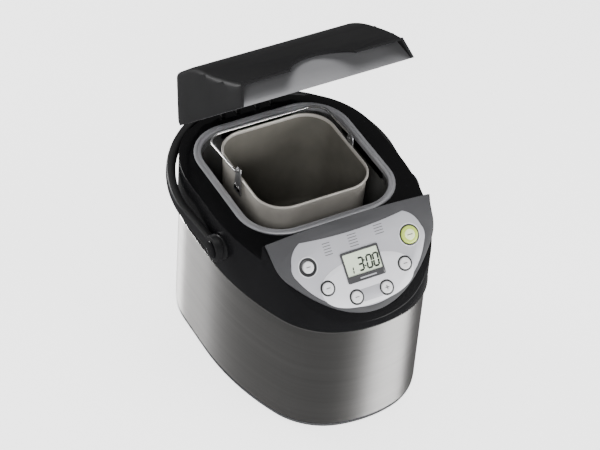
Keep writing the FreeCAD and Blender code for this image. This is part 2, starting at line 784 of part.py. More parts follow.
def pan_form(name, inset, bottom, top):
    """The pan's tapering square form with round corners, moved inwards by a wall."""

    def section(level):
        share = (level - PAN_Z) / (PAN_RIM - PAN_Z)
        half = FOOT_HALF + (TOP_HALF - 1.5 - FOOT_HALF) * share - inset
        return round_rect(half, half, PAN_CORNER - 3.0 + 3.0 * share - inset, CHAMBER), level

    return loft_body(name, [section(bottom), section(top)])


pan_outer = pan_form("pan_outer", 0.0, PAN_Z, PAN_RIM)
pan_inner = pan_form("pan_inner", PAN_WALL, PAN_Z + PAN_WALL, PAN_RIM + 3.0)
pan_lip = pad_body("pan_lip", round_rect(TOP_HALF, TOP_HALF, PAN_CORNER + 1.5, CHAMBER), PAN_RIM - 3.0, 3.0)
pan_hub = cylinder("pan_hub", 12.0, 14.0, (*CHAMBER, PAN_Z))
pan_bore = cylinder("pan_bore", "shaft_radius + running_gap", 60.0, (*CHAMBER, 100))
pan_body = cut("pan_body", fuse("pan_solid", pan_outer, pan_lip), pan_inner)
pan_whole = cut("pan_whole", fuse("pan_with_hub", pan_body, pan_hub), pan_bore)
node(pan_whole, "bread_pan")

foot_ring = cylinder("foot_ring", "pan_ring_radius", 13.0, (*CHAMBER, PAN_Z - 13.0))
foot_hollow = cylinder("foot_hollow", 30.0, 20.0, (*CHAMBER, PAN_Z - 16.0))
node(cut("pan_foot", foot_ring, foot_hollow), "pan_foot_ring")

# two lugs riveted to the side walls, standing above the rim to take the bail
lug_solids = []
for index, side in enumerate((-1, 1)):
    profile = [
        (size("bail_pivot_y") - 9, PAN_RIM - 26),
        (size("bail_pivot_y") + 9, PAN_RIM - 26),
        (size("bail_pivot_y") + 6, size("bail_pivot_z") + 5),
        (size("bail_pivot_y") - 6, size("bail_pivot_z") + 5),
    ]
    start_x = TOP_HALF if side > 0 else -TOP_HALF - 1.6
    lug = pad_body(f"lug_{index}", polygon(profile), start_x, 1.6, "YZ_Plane")
    hole = cylinder(
        f"lug_hole_{index}",
        "bail_wire + 0.3",
        20.0,
        (side * TOP_HALF - 10, size("bail_pivot_y"), size("bail_pivot_z")),
        (1, 0, 0),
    )
    lug_solids.append(cut(f"lug_cut_{index}", lug, hole))
node(group("pan_lugs", *lug_solids), "pan_lugs")
rivets = [
    cylinder(
        f"rivet_{i}",
        2.2,
        3.6,
        (side * (TOP_HALF + 1.6), size("bail_pivot_y") + dy, PAN_RIM - 18),
        (-side, 0, 0),
    )
    for i, (side, dy) in enumerate(((-1, -4), (-1, 4), (1, -4), (1, 4)))
]
node(group("pan_rivets", *rivets), "pan_rivets")

# the bail, folded to the back: wire arms outside the lugs, ends turned in through them
DROOP = math.radians(size("bail_droop"))
REACH = size("bail_reach")
BAIL_X = size("bail_half_width")
BAIL_PIVOT = Vector(0, size("bail_pivot_y"), size("bail_pivot_z"))
bail_end = BAIL_PIVOT + Vector(0, REACH * math.cos(DROOP), -REACH * math.sin(DROOP))
bail_path = edge_path(
    [
        (-TOP_HALF + 2.5, BAIL_PIVOT.y, BAIL_PIVOT.z),
        (-BAIL_X, BAIL_PIVOT.y, BAIL_PIVOT.z),
        (-BAIL_X, bail_end.y, bail_end.z),
        (BAIL_X, bail_end.y, bail_end.z),
        (BAIL_X, BAIL_PIVOT.y, BAIL_PIVOT.z),
        (TOP_HALF - 2.5, BAIL_PIVOT.y, BAIL_PIVOT.z),
    ],
    (2.2, 20.0, 20.0, 2.2),
)
node(wire_sweep("bail", bail_path, size("bail_wire")), "pan_bail")

# kneading shaft through the pan's hub, its winged coupling below and the paddle above
node(cylinder("knead_rod", "shaft_radius", 42.0, (*CHAMBER, PAN_Z - 5.0)), "kneading_shaft")
wing_hub = cylinder("wing_hub", 8.0, 4.5, (*CHAMBER, DOG_LEVEL + 9.0))
wing_bar = box("wing_bar", (26.0, 4.0, 2.6), (-13, size("chamber_y") - 2.0, DOG_LEVEL + 6.4))
wing_tab = box("wing_tab", (18.0, 4.0, 3.6), (-9, size("chamber_y") - 2.0, DOG_LEVEL + 8.6))
wing_bore = cylinder("wing_bore", "shaft_radius", 60.0, (*CHAMBER, PAN_Z - 5.0))
node(cut("wing", fuse("wing_solid", wing_hub, wing_bar, wing_tab), wing_bore), "pan_coupling")
paddle_hub = doc.addObject("Part::Cone", "paddle_hub")
paddle_hub.Radius1 = 10.0
paddle_hub.Radius2 = 7.5
paddle_hub.Height = 24.0
PADDLE_Z = PAN_Z + 14.6
paddle_hub.Placement = Placement(Vector(*CHAMBER, PADDLE_Z), Rotation())
paddle_blade = pad_body(
    "paddle_blade",
    polygon([(5, PADDLE_Z), (46, PADDLE_Z), (50, PADDLE_Z + 6), (44, PADDLE_Z + 20), (26, PADDLE_Z + 32), (5, PADDLE_Z + 24)]),
    -size("chamber_y") - 2.0,
    4.0,
    "XZ_Plane",
)
paddle_bore = cylinder("paddle_bore", "shaft_radius", 60.0, (*CHAMBER, PAN_Z))
node(cut("paddle", fuse("paddle_solid", paddle_hub, paddle_blade), paddle_bore), "kneading_paddle")

# ---------------------------------------------------------------- carry handle

PIVOT = Vector(0, size("handle_pivot_y"), size("handle_pivot_z"))
HANDLE_TILT = size("handle_tilt")
HANDLE_PLACE = Placement(PIVOT, Rotation(Vector(1, 0, 0), HANDLE_TILT))


def bow_outline(outer, inner, start_outer, start_inner, start_y):
    """A flat bow: a half-circle and two arms that lean in to the pivots, seen along its height."""
    centre_y = size("handle_centre_y") - PIVOT.y
    return [
        arc_about((0, centre_y), outer, 0, 180),
        line((-outer, centre_y), (-start_outer, start_y)),
        line((-start_outer, start_y), (-start_inner, start_y)),
        line((-start_inner, start_y), (-inner, centre_y)),
        arc_about((0, centre_y), inner, 0, 180),
        line((inner, centre_y), (start_inner, start_y)),
        line((start_inner, start_y), (start_outer, start_y)),
        line((start_outer, start_y), (outer, centre_y)),
    ]


BOW_OUT = size("handle_radius")
BOW_IN = BOW_OUT - size("handle_width")
DISC_OUTER, DISC_INNER = 142.0, 132.0
bow_shape = bow_outline(BOW_OUT, BOW_IN, DISC_OUTER - 1.0, DISC_INNER, 11.0)
bow = pad_body("bow", bow_shape, -size("handle_height") / 2, "handle_height")
bow.Placement = HANDLE_PLACE
discs = [
    cylinder(
        f"disc_{i}",
        "pivot_disc_radius",
        DISC_OUTER - DISC_INNER,
        (side * DISC_INNER, PIVOT.y, PIVOT.z),
        (side, 0, 0),
    )
    for i, side in enumerate((-1, 1))
]
pin_sockets = [
    cylinder(f"pin_socket_{i}", 6.05, 8.0, (side * (DISC_INNER - 1.0), PIVOT.y, PIVOT.z), (side, 0, 0))
    for i, side in enumerate((-1, 1))
]
handle_solid = fuse("handle_solid", bow, *discs)
node(cut("handle", handle_solid, *pin_sockets), "carry_handle")

boss_solids = []
for index, side in enumerate((-1, 1)):
    barrel = cylinder(f"boss_barrel_{index}", 15.0, 5.4, (side * 126.2, PIVOT.y, PIVOT.z), (side, 0, 0))
    stub = cylinder(f"boss_stub_{index}", 6.0, 12.0, (side * 126.2, PIVOT.y, PIVOT.z), (side, 0, 0))
    boss_solids.append(fuse(f"boss_{index}", barrel, stub))
housing_skin = pad_body("housing_skin", body_outline(size("cowl_proud")), 150.0, 120.0)
node(
    group("bosses", *[cut(f"boss_cut_{i}", boss, housing_skin) for i, boss in enumerate(boss_solids)]),
    "handle_pivots",
)
cap_solids = [
    cylinder(f"cap_{i}", 10.0, 2.0, (side * DISC_OUTER, PIVOT.y, PIVOT.z), (side, 0, 0))
    for i, side in enumerate((-1, 1))
]
node(group("caps", *cap_solids), "handle_pivot_caps")

# ---------------------------------------------------------------- lid, drawn shut and then swung open

HINGE = Vector(0, size("lid_hinge_y"), size("lid_hinge_z"))
LID_Z = size("lid_level")
LID_FRONT = -size("lid_front")
DRAFT = math.tan(math.radians(size("lid_draft")))


def swing_open(obj):
    """Turn a piece drawn on the shut lid about the hinge to where it stands open."""
    opened = Rotation(Vector(1, 0, 0), -size("lid_open_angle"))
    obj.Placement = Placement(HINGE - opened.multVec(HINGE), opened)
    return obj


def lid_profile(drop, front, rear=230.0):
    """Side profile of the lid's top: a slope behind the front edge that rounds into a flat top."""
    low = LID_Z + size("lid_front_height") - drop
    high = LID_Z + size("lid_rear_height") - drop
    run = size("lid_slope_run")
    slope_end = LID_FRONT + run
    slope = math.tan(math.radians(17.0))
    rise_y = LID_FRONT + run * 0.62
    rise_z = low + (rise_y - LID_FRONT) * slope
    start_z = low + (front - LID_FRONT) * slope
    middle = Vector((rise_y + slope_end) / 2 + 3, (rise_z + high) / 2 + 2.4, 0)
    curve = Part.Arc(Vector(rise_y, rise_z, 0), middle, Vector(slope_end, high, 0))
    return [
        line((front, LID_Z - 40), (front, start_z)),
        line((front, start_z), (rise_y, rise_z)),
        curve,
        line((slope_end, high), (rear, high)),
        line((rear, high), (rear, LID_Z - 40)),
        line((rear, LID_Z - 40), (front, LID_Z - 40)),
    ]


LOFT_RISE = 70.0


def lid_form(name, proud, bottom, drop, front):
    """A drafted lid volume: the body's outline drawn in towards the top, under the top's profile."""
    base = proud - (bottom - LID_Z) * DRAFT
    top = base - LOFT_RISE * DRAFT
    walls = loft_body(f"{name}_walls", [(body_outline(base), bottom), (body_outline(top), bottom + LOFT_RISE)])
    side = pad_body(f"{name}_side", lid_profile(drop, front), 0.0, 400.0, "YZ_Plane", both=True)
    return common(name, walls, side)


LID_WALL = size("lid_wall")
lid_outer = lid_form("lid_outer", size("lid_proud"), LID_Z, 0.0, LID_FRONT)
lid_hollow = lid_form("lid_hollow", size("lid_proud") - LID_WALL, LID_Z - 1.0, LID_WALL, LID_FRONT - 20.0)
NOTCH_RADIUS = 46.0
notch_centre = (0.0, LID_FRONT - 16.0)
notch = pad_body("notch", circle(notch_centre, NOTCH_RADIUS), 240.0, 80.0)
hinge_window = box("hinge_window", (80.0, 40.0, 22.0), (-40, HINGE.y - 8.0, LID_Z - 8.0))
lid_shell = cut("lid_shell", lid_outer, lid_hollow, notch, hinge_window)
node(swing_open(lid_shell), "lid_shell")

# recessed front wall of the lid, leaning back behind the finger notch
WALL_FOOT_Y = LID_FRONT + 5.0
WALL_RISE, WALL_LEAN, WALL_DEPTH = 45.0, 40.0, 2.5
wall_profile = [
    (WALL_FOOT_Y, LID_Z),
    (WALL_FOOT_Y + WALL_DEPTH, LID_Z),
    (WALL_FOOT_Y + WALL_DEPTH + WALL_LEAN, LID_Z + WALL_RISE),
    (WALL_FOOT_Y + WALL_LEAN, LID_Z + WALL_RISE),
]
wall_solid = pad_body("wall_solid", polygon(wall_profile), 0.0, 300.0, "YZ_Plane", both=True)
lid_inside = lid_form(
    "lid_inside", size("lid_proud") - LID_WALL - 0.1, LID_Z, LID_WALL + 0.1, LID_FRONT - 20.0
)
node(swing_open(common("front_wall", wall_solid, lid_inside)), "lid_front_wall")

# inner liner: a shallow steel tray that follows the top, with a flange round its mouth
LINER_DROP = 13.0
liner_mouth = round_rect(98.0, 96.0, 44.0, (0.0, 40.0))
liner_mouth_in = round_rect(97.0, 95.0, 43.0, (0.0, 40.0))
tray_walls = pad_body("tray_walls", liner_mouth, "lid_level + 0.9", 70.0)
tray_walls_in = pad_body("tray_walls_in", liner_mouth_in, LID_Z - 1.0, 72.0)
tray_side = pad_body("tray_side", lid_profile(LINER_DROP, LID_FRONT), 0.0, 400.0, "YZ_Plane", both=True)
tray_side_in = pad_body(
    "tray_side_in", lid_profile(LINER_DROP + 1.0, LID_FRONT), 0.0, 400.0, "YZ_Plane", both=True
)
tray = cut("tray", common("tray_out", tray_walls, tray_side), common("tray_in", tray_walls_in, tray_side_in))
flange_blank = pad_body("flange_blank", round_rect(107.0, 104.0, 52.0, (0.0, 40.0)), "lid_level + 0.9", 1.2)
flange_hole = pad_body("flange_hole", liner_mouth, 240.0, 20.0)
flange = cut("flange", flange_blank, flange_hole)
node(swing_open(fuse("lid_liner_solid", tray, flange)), "lid_liner")

# seal that closes on the chamber rim
seal = new_body("seal")
add_pad(
    seal,
    round_rect(106.0, 103.0, 51.0, (0.0, 40.0)) + round_rect(102.5, 99.5, 48.0, (0.0, 40.0)),
    "lid_level - 0.2",
    1.1,
)
node(swing_open(seal), "lid_seal")

# hinge: two knuckles on the lid between pairs of fixed lugs, on one pin each
HINGE_X = 24.0
lid_knuckles, fixed_lugs, pins = [], [], []
for index, side in enumerate((-1, 1)):
    x = side * HINGE_X
    knuckle = cylinder(f"knuckle_{index}", 4.2, 16.0, (x - 8, HINGE.y, HINGE.z), (1, 0, 0))
    tab = box(f"tab_{index}", (16.0, 6.0, 16.0), (x - 8, HINGE.y - 1.0, HINGE.z + 1.0))
    bore = cylinder(f"knuckle_bore_{index}", 2.55, 40.0, (x - 20, HINGE.y, HINGE.z), (1, 0, 0))
    lid_knuckles.append(cut(f"knuckle_cut_{index}", fuse(f"knuckle_solid_{index}", knuckle, tab), bore))
    for ear, dx in enumerate((-12.5, 8.5)):
        lug = cylinder(f"ear_{index}_{ear}", 4.0, 4.0, (x + dx, HINGE.y, HINGE.z), (1, 0, 0))
        stem = box(
            f"stem_{index}_{ear}", (4.0, 8.0, HINGE.z - size("trough_level")), (x + dx, HINGE.y - 4, size("trough_level"))
        )
        ear_bore = cylinder(f"ear_bore_{index}_{ear}", 2.5, 20.0, (x + dx - 8, HINGE.y, HINGE.z), (1, 0, 0))
        fixed_lugs.append(cut(f"ear_cut_{index}_{ear}", fuse(f"ear_solid_{index}_{ear}", lug, stem), ear_bore))
    pins.append(cylinder(f"pin_{index}", 2.5, 25.0, (x - 12.5, HINGE.y, HINGE.z), (1, 0, 0)))
node(swing_open(group("knuckles", *lid_knuckles)), "lid_hinge_knuckles")
node(group("hinge_ears", *fixed_lugs), "hinge_lugs")
node(group("hinge_pins_all", *pins), "hinge_pins")

# ---------------------------------------------------------------- recompute, check and write

doc.recompute()
problems = []
for obj in doc.Objects:
    if any(word in obj.State for word in ("Invalid", "Error")):
        problems.append(f"{obj.Name} ({obj.Label}): {obj.State}")
for label, obj in NODES.items():
    shape = obj.Shape
    if shape.isNull() or not shape.isValid():
        problems.append(f"{label}: shape is null or not valid")
    elif not shape.Solids:
        problems.append(f"{label}: no solid")
    else:
        bounds = shape.BoundBox
        print(
            f"{label:22s} solids {len(shape.Solids)} volume {shape.Volume:10.0f}"
            f"  x {bounds.XMin:.1f}..{bounds.XMax:.1f}  y {bounds.YMin:.1f}..{bounds.YMax:.1f}"
            f"  z {bounds.ZMin:.1f}..{bounds.ZMax:.1f}"
        )
if problems:
    raise SystemExit("\n".join(problems))

os.makedirs("parts", exist_ok=True)
for label, obj in NODES.items():
    obj.Shape.exportStep(f"parts/{label}.step")
print(len(NODES), "nodes written")
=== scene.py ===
import math

import bmesh
import bpy
from mathutils import Matrix, Vector


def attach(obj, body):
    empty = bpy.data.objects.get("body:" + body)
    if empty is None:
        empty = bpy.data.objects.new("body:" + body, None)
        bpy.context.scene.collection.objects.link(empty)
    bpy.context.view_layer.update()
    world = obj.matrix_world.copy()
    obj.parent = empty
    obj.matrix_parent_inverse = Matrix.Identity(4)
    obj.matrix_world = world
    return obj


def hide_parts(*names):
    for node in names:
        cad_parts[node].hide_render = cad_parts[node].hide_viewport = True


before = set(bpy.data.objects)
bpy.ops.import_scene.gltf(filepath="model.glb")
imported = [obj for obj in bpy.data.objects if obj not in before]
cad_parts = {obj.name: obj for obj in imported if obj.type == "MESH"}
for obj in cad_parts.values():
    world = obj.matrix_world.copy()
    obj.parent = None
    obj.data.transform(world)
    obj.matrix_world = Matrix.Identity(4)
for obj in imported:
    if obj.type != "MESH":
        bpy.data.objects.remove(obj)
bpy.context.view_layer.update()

MM = 0.001

# ---------------------------------------------------------------- camera

CAMERA_PLACE = Vector((-1.1283, -1.8621, 2.1422))
CAMERA_AZIMUTH = math.radians(-31.178)
CAMERA_ELEVATION = math.radians(42.212)
CAMERA_ROLL = math.radians(4.588)
CAMERA_LENS, CAMERA_SENSOR = 141.7, 36.0


def make_camera():
    data = bpy.data.cameras.new("camera")
    data.sensor_width = CAMERA_SENSOR
    data.lens = CAMERA_LENS
    data.clip_start = 0.1
    data.clip_end = 60.0
    camera = bpy.data.objects.new("camera", data)
    bpy.context.scene.collection.objects.link(camera)
    level = math.cos(CAMERA_ELEVATION)
    back = Vector((math.sin(CAMERA_AZIMUTH) * level, -math.cos(CAMERA_AZIMUTH) * level,
                   math.sin(CAMERA_ELEVATION)))
    right = (-back).cross(Vector((0, 0, 1))).normalized()
    up = right.cross(-back)
    across = right * math.cos(CAMERA_ROLL) + up * math.sin(CAMERA_ROLL)
    above = up * math.cos(CAMERA_ROLL) - right * math.sin(CAMERA_ROLL)
    axes = Matrix((across, above, back)).transposed().to_4x4()
    camera.matrix_world = Matrix.Translation(CAMERA_PLACE) @ axes
    bpy.context.scene.camera = camera


make_camera()

# ---------------------------------------------------------------- materials


def material(name, colour, rough, metal=0.0, tint=0.08, broad=25.0, fine=1400.0, stretch=(1, 1, 1),
             spread=0.05, bump=0.15, depth=0.00004, **sockets):
    """A procedural finish: broad colour variation, fine roughness variation and a fine surface grain."""
    made = bpy.data.materials.new(name)
    made.use_nodes = True
    nodes, links = made.node_tree.nodes, made.node_tree.links
    shader = nodes["Principled BSDF"]
    place = nodes.new("ShaderNodeTexCoord")
    scaled = nodes.new("ShaderNodeMapping")
    scaled.inputs["Scale"].default_value = stretch
    links.new(place.outputs["Object"], scaled.inputs["Vector"])
    wide = nodes.new("ShaderNodeTexNoise")
    wide.inputs["Scale"].default_value = broad
    wide.inputs["Detail"].default_value = 4.0
    links.new(scaled.outputs["Vector"], wide.inputs["Vector"])
    tones = nodes.new("ShaderNodeValToRGB")
    tones.color_ramp.elements[0].position = 0.3
    tones.color_ramp.elements[1].position = 0.7
    tones.color_ramp.elements[0].color = [*(max(0.0, c * (1 - tint)) for c in colour), 1]
    tones.color_ramp.elements[1].color = [*(min(1.0, c * (1 + tint)) for c in colour), 1]
    links.new(wide.outputs["Fac"], tones.inputs["Fac"])
    links.new(tones.outputs["Color"], shader.inputs["Base Color"])
    grain = nodes.new("ShaderNodeTexNoise")
    grain.inputs["Scale"].default_value = fine
    grain.inputs["Detail"].default_value = 3.0
    links.new(scaled.outputs["Vector"], grain.inputs["Vector"])
    span = nodes.new("ShaderNodeMapRange")
    span.inputs["To Min"].default_value = max(0.02, rough - spread)
    span.inputs["To Max"].default_value = rough + spread
    links.new(grain.outputs["Fac"], span.inputs["Value"])
    links.new(span.outputs["Result"], shader.inputs["Roughness"])
    relief = nodes.new("ShaderNodeBump")
    relief.inputs["Strength"].default_value = bump
    relief.inputs["Distance"].default_value = depth
    links.new(grain.outputs["Fac"], relief.inputs["Height"])
    links.new(relief.outputs["Normal"], shader.inputs["Normal"])
    shader.inputs["Metallic"].default_value = metal
    for socket, value in sockets.items():
        shader.inputs[socket.replace("_", " ")].default_value = value
    return made


STEEL = material("brushed_steel", (0.62, 0.61, 0.6), 0.56, 1.0, 0.05, 160, 1100, (0.02, 0.02, 1), 0.04,
                 0.12, 0.00003, Anisotropic=0.95, Anisotropic_Rotation=0.25)


def brush_round(finish):
    """Brushing that runs round the body, so the steel stretches what it reflects up and down."""
    nodes, links = finish.node_tree.nodes, finish.node_tree.links
    tangent = nodes.new("ShaderNodeTangent")
    tangent.direction_type = "RADIAL"
    tangent.axis = "Z"
    links.new(tangent.outputs["Tangent"], nodes["Principled BSDF"].inputs["Tangent"])


brush_round(STEEL)
BLACK_GLOSS = material("black_gloss", (0.005, 0.005, 0.0055), 0.2, tint=0.1, bump=0.04,
                       Specular_IOR_Level=0.2)
BLACK = material("black_plastic", (0.009, 0.009, 0.0095), 0.42, fine=2600, bump=0.3, Specular_IOR_Level=0.3)
LID_TOP = material("lid_charcoal", (0.014, 0.014, 0.0145), 0.4, fine=2400, bump=0.25, Specular_IOR_Level=0.05)
CHARCOAL = material("panel_charcoal", (0.05, 0.05, 0.053), 0.42, fine=2600, bump=0.3, Specular_IOR_Level=0.3)
SILVER = material("overlay_silver", (0.42, 0.42, 0.45), 0.42, 0.2, 0.04, fine=3200, Specular_IOR_Level=0.3)
PALE_SILVER = material("overlay_pale", (0.66, 0.66, 0.69), 0.42, 0.1, 0.03, fine=3200, Specular_IOR_Level=0.3)
LID_SILVER = material("lid_silver", (0.28, 0.28, 0.29), 0.45, 0.3, 0.05)
RIM_GREY = material("rim_grey", (0.46, 0.46, 0.48), 0.34, 0.5, 0.05)
BRIGHT = material("bright_steel", (0.72, 0.71, 0.7), 0.2, 1.0, 0.05)
ZINC = material("zinc_plate", (0.4, 0.4, 0.41), 0.4, 0.9, 0.12, 90)
CHAMBER_COAT = material("chamber_coating", (0.16, 0.16, 0.155), 0.42, 0.4, 0.1, 40, 1800, bump=0.3)
PAN_OUT = material("pan_coating", (0.6, 0.57, 0.52), 0.42, 0.35, 0.05, 40, 1800, bump=0.3)
PAN_IN = material("pan_inside", (0.2, 0.19, 0.165), 0.45, 0.3, 0.08, 40, 1800, bump=0.4)
HEATER = material("heater_tube", (0.16, 0.14, 0.125), 0.45, 0.9, 0.2, 120)
PLINTH = material("plinth_grey", (0.045, 0.045, 0.048), 0.45, fine=2600, bump=0.3)
RUBBER = material("rubber", (0.02, 0.02, 0.02), 0.75, fine=1800, bump=0.5)
SILICONE = material("silicone", (0.16, 0.16, 0.165), 0.6, fine=1500, bump=0.3)
DISPLAY_DARK = material("display_frame", (0.05, 0.05, 0.052), 0.25, tint=0.05)
DISPLAY = material("display_cells", (0.6, 0.68, 0.53), 0.3, tint=0.03, broad=60)
DIGIT = material("display_digits", (0.012, 0.014, 0.012), 0.35, tint=0.1)
INK = material("print_grey", (0.11, 0.11, 0.115), 0.5, tint=0.1)
WHITE_CAP = material("button_white", (0.68, 0.68, 0.69), 0.28, tint=0.03, Coat_Weight=0.3)
GREEN_CAP = material("button_green", (0.47, 0.6, 0.1), 0.28, tint=0.05, Coat_Weight=0.3)
PALE_GREEN = material("button_centre", (0.72, 0.8, 0.5), 0.3, tint=0.03)
RING = material("ring_dark", (0.035, 0.035, 0.036), 0.35, 0.4)
BOARD = material("circuit_laminate", (0.02, 0.11, 0.04), 0.4, tint=0.2, broad=120)
BRONZE = material("sintered_bronze", (0.4, 0.25, 0.1), 0.45, 0.9, 0.15, 200)
NYLON = material("nylon", (0.6, 0.58, 0.52), 0.5, tint=0.05)
MOTOR = material("motor_can", (0.2, 0.2, 0.21), 0.4, 0.8, 0.1)
IRON = material("laminated_iron", (0.07, 0.07, 0.07), 0.6, 0.6, 0.2, 60, 900, (1, 1, 8))
ALUMINIUM = material("pressed_aluminium", (0.55, 0.55, 0.56), 0.36, 0.95, 0.06, 50)

# ---------------------------------------------------------------- mesh helpers (all lengths in millimetres)


def mesh_object(name, points, faces, finish, transform=None):
    mesh = bpy.data.meshes.new(name)
    mesh.from_pydata([tuple(c * MM for c in p) for p in points], [], faces)
    if transform:
        mesh.transform(transform)
    tidy = bmesh.new()
    tidy.from_mesh(mesh)
    bmesh.ops.remove_doubles(tidy, verts=tidy.verts, dist=0.000002)
    bmesh.ops.recalc_face_normals(tidy, faces=tidy.faces)
    tidy.to_mesh(mesh)
    tidy.free()
    made = bpy.data.objects.new(name, mesh)
    bpy.context.scene.collection.objects.link(made)
    made.data.materials.append(finish)
    return made


def finished(obj, body, replaces=(), smooth=38):
    """Smooth shading with sharp creases, then the piece's body and the nodes it stands for."""
    obj.data.shade_smooth()
    obj.data.set_sharp_from_angle(angle=math.radians(smooth))
    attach(obj, body)
    if replaces:
        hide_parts(*replaces)
    return obj


def apply_modifiers(obj):
    graph = bpy.context.evaluated_depsgraph_get()
    graph.update()
    mesh = bpy.data.meshes.new_from_object(obj.evaluated_get(graph))
    obj.modifiers.clear()
    obj.data = mesh
    return obj


def boolean(obj, tool, operation="DIFFERENCE"):
    change = obj.modifiers.new("boolean", "BOOLEAN")
    change.object = tool
    change.operation = operation
    change.solver = "EXACT"
    apply_modifiers(obj)
    bpy.data.objects.remove(tool)
    return obj


def bevelled(obj, width, segments=3, angle=35):
    change = obj.modifiers.new("bevel", "BEVEL")
    change.width = width * MM
    change.segments = segments
    change.limit_method = "ANGLE"
    change.angle_limit = math.radians(angle)
    return apply_modifiers(obj)


def skin(name, rings, finish, close=False, caps=(False, False), transform=None):
    """A surface through closed rings with equal counts of points."""
    count = len(rings[0])
    points = [p for ring in rings for p in ring]
    faces = []
    spans = len(rings) if close else len(rings) - 1
    for level in range(spans):
        low, high = level * count, ((level + 1) % len(rings)) * count
        for i in range(count):
            j = (i + 1) % count
            faces.append((low + i, low + j, high + j, high + i))
    if caps[0]:
        faces.append(tuple(range(count))[::-1])
    if caps[1]:
        faces.append(tuple(range(len(points) - count, len(points))))
    return mesh_object(name, points, faces, finish, transform)


def prism(name, outline, low, high, finish, transform=None):
    rings = [[(x, y, z) for x, y in outline] for z in (low, high)]
    return skin(name, rings, finish, caps=(True, True), transform=transform)


def side_prism(name, profile, half, finish):
    """A prism along X from its (y, z) side profile."""
    rings = [[(x, y, z) for y, z in profile] for x in (-half, half)]
    return skin(name, rings, finish, caps=(True, True))


def lathe(name, profile, centre, finish, axis="Z", turns=48, transform=None):
    """A closed solid turned about Z or X through centre from (radius, height) points."""
    rings = []
    for radius, height in profile:
        ring = []
        for i in range(turns):
            a = 2 * math.pi * i / turns
            u, v = radius * math.cos(a), radius * math.sin(a)
            offset = (u, v, height) if axis == "Z" else (height, u, v)
            ring.append(tuple(c + o for c, o in zip(centre, offset)))
        rings.append(ring)
    return skin(name, rings, finish, caps=(True, True), transform=transform)


def turned_ring(name, profile, centre, finish, turns=72, transform=None):
    """A ring turned about the vertical through centre from a closed (radius, height) section."""
    rings = []
    for radius, z in profile:
        turn = [2 * math.pi * i / turns for i in range(turns)]
        rings.append([(centre[0] + radius * math.cos(a), centre[1] + radius * math.sin(a), z) for a in turn])
    return skin(name, rings, finish, close=True, transform=transform)


def arc(centre, radius, start, end, steps):
    turn = [start + (end - start) * i / steps for i in range(steps + 1)]
    return [(centre[0] + radius * math.cos(math.radians(t)), centre[1] + radius * math.sin(math.radians(t)))
            for t in turn]


SAME_POINT = 0.05


def dedupe(points):
    """The same outline without points that lie on the one before, where two runs meet."""
    kept = []
    for p in points:
        if not kept or math.dist(p, kept[-1]) > SAME_POINT:
            kept.append(p)
    if math.dist(kept[0], kept[-1]) < SAME_POINT:
        kept.pop()
    return kept


def round_rect(half_x, half_y, radius, centre=(0.0, 0.0), steps=12, straights=6):
    cx, cy = centre
    points = []
    for index, (sx, sy) in enumerate(((1, 1), (-1, 1), (-1, -1), (1, -1))):
        middle = (cx + sx * (half_x - radius), cy + sy * (half_y - radius))
        points += arc(middle, radius, 90 * index, 90 * index + 90, steps)
        tx, ty = ((-1, 0), (0, -1), (1, 0), (0, 1))[index]
        run = 2 * ((half_x - radius) if tx else (half_y - radius))
        start = points[-1]
        points += [(start[0] + tx * run * i / straights, start[1] + ty * run * i / straights)
                   for i in range(1, straights)]
    return points


def three_point_arc(a, b, c, steps):
    """Points along the circle through three points."""
    ax, ay, bx, by, cx, cy = *a, *b, *c
    d = 2 * (ax * (by - cy) + bx * (cy - ay) + cx * (ay - by))
    a2, b2, c2 = ax * ax + ay * ay, bx * bx + by * by, cx * cx + cy * cy
    ux = (a2 * (by - cy) + b2 * (cy - ay) + c2 * (ay - by)) / d
    uy = (a2 * (cx - bx) + b2 * (ax - cx) + c2 * (bx - ax)) / d
    start = math.degrees(math.atan2(ay - uy, ax - ux))
    end = math.degrees(math.atan2(cy - uy, cx - ux))
    middle = math.degrees(math.atan2(by - uy, bx - ux))
    forward = (middle - start) % 360 < (end - start) % 360
    sweep = (end - start) % 360 if forward else -((start - end) % 360)
    return arc((ux, uy), math.dist(a, (ux, uy)), start, start + sweep, steps)


# the body's plan outline: tangent arcs round the front and along the sides, then round rear corners
HALF_WIDTH, FRONT_Y, REAR_Y = 128.9, 192.5, 164.0
FRONT_R, CORNER_R, SIDE_R, REAR_R = 164.1, 90.0, 335.0, 106.0


def outline_arcs():
    """Centres and end angles of the front, front-corner and side arcs, which touch without a corner."""
    front_y = FRONT_R - FRONT_Y
    side_x = HALF_WIDTH - SIDE_R
    gap = Vector((side_x, -front_y))
    near, far = FRONT_R - CORNER_R, SIDE_R - CORNER_R
    along = (near**2 - far**2 + gap.length**2) / (2 * gap.length)
    across = math.sqrt(near**2 - along**2)
    unit = gap.normalized()
    options = [Vector((0, front_y)) + unit * along + Vector((-unit.y, unit.x)) * s for s in (across, -across)]
    corner = min(options, key=lambda p: p.y)
    front_deg = math.degrees(math.atan2(corner.y - front_y, corner.x))
    side_deg = math.degrees(math.atan2(corner.y, corner.x - side_x))
    return front_y, side_x, corner, front_deg, side_deg


FRONT_CY, SIDE_CX, CORNER_C, FRONT_DEG, SIDE_DEG = outline_arcs()


def body_outline(proud):
    """The body's plan outline, proud millimetres outside it."""
    half = HALF_WIDTH + proud
    rear_x, rear_y = HALF_WIDTH - REAR_R, REAR_Y - REAR_R
    right = arc((CORNER_C.x, CORNER_C.y), CORNER_R + proud, FRONT_DEG, SIDE_DEG, 16)
    right += arc((SIDE_CX, 0), SIDE_R + proud, SIDE_DEG, 0, 12)
    right += [(half, rear_y * i / 4) for i in range(1, 4)]
    right += arc((rear_x, rear_y), REAR_R + proud, 0, 90, 20)
    front = arc((0, FRONT_CY), FRONT_R + proud, -180 - FRONT_DEG, FRONT_DEG, 44)
    left = [(-x, y) for x, y in reversed(right)]
    return dedupe(front + right + left)


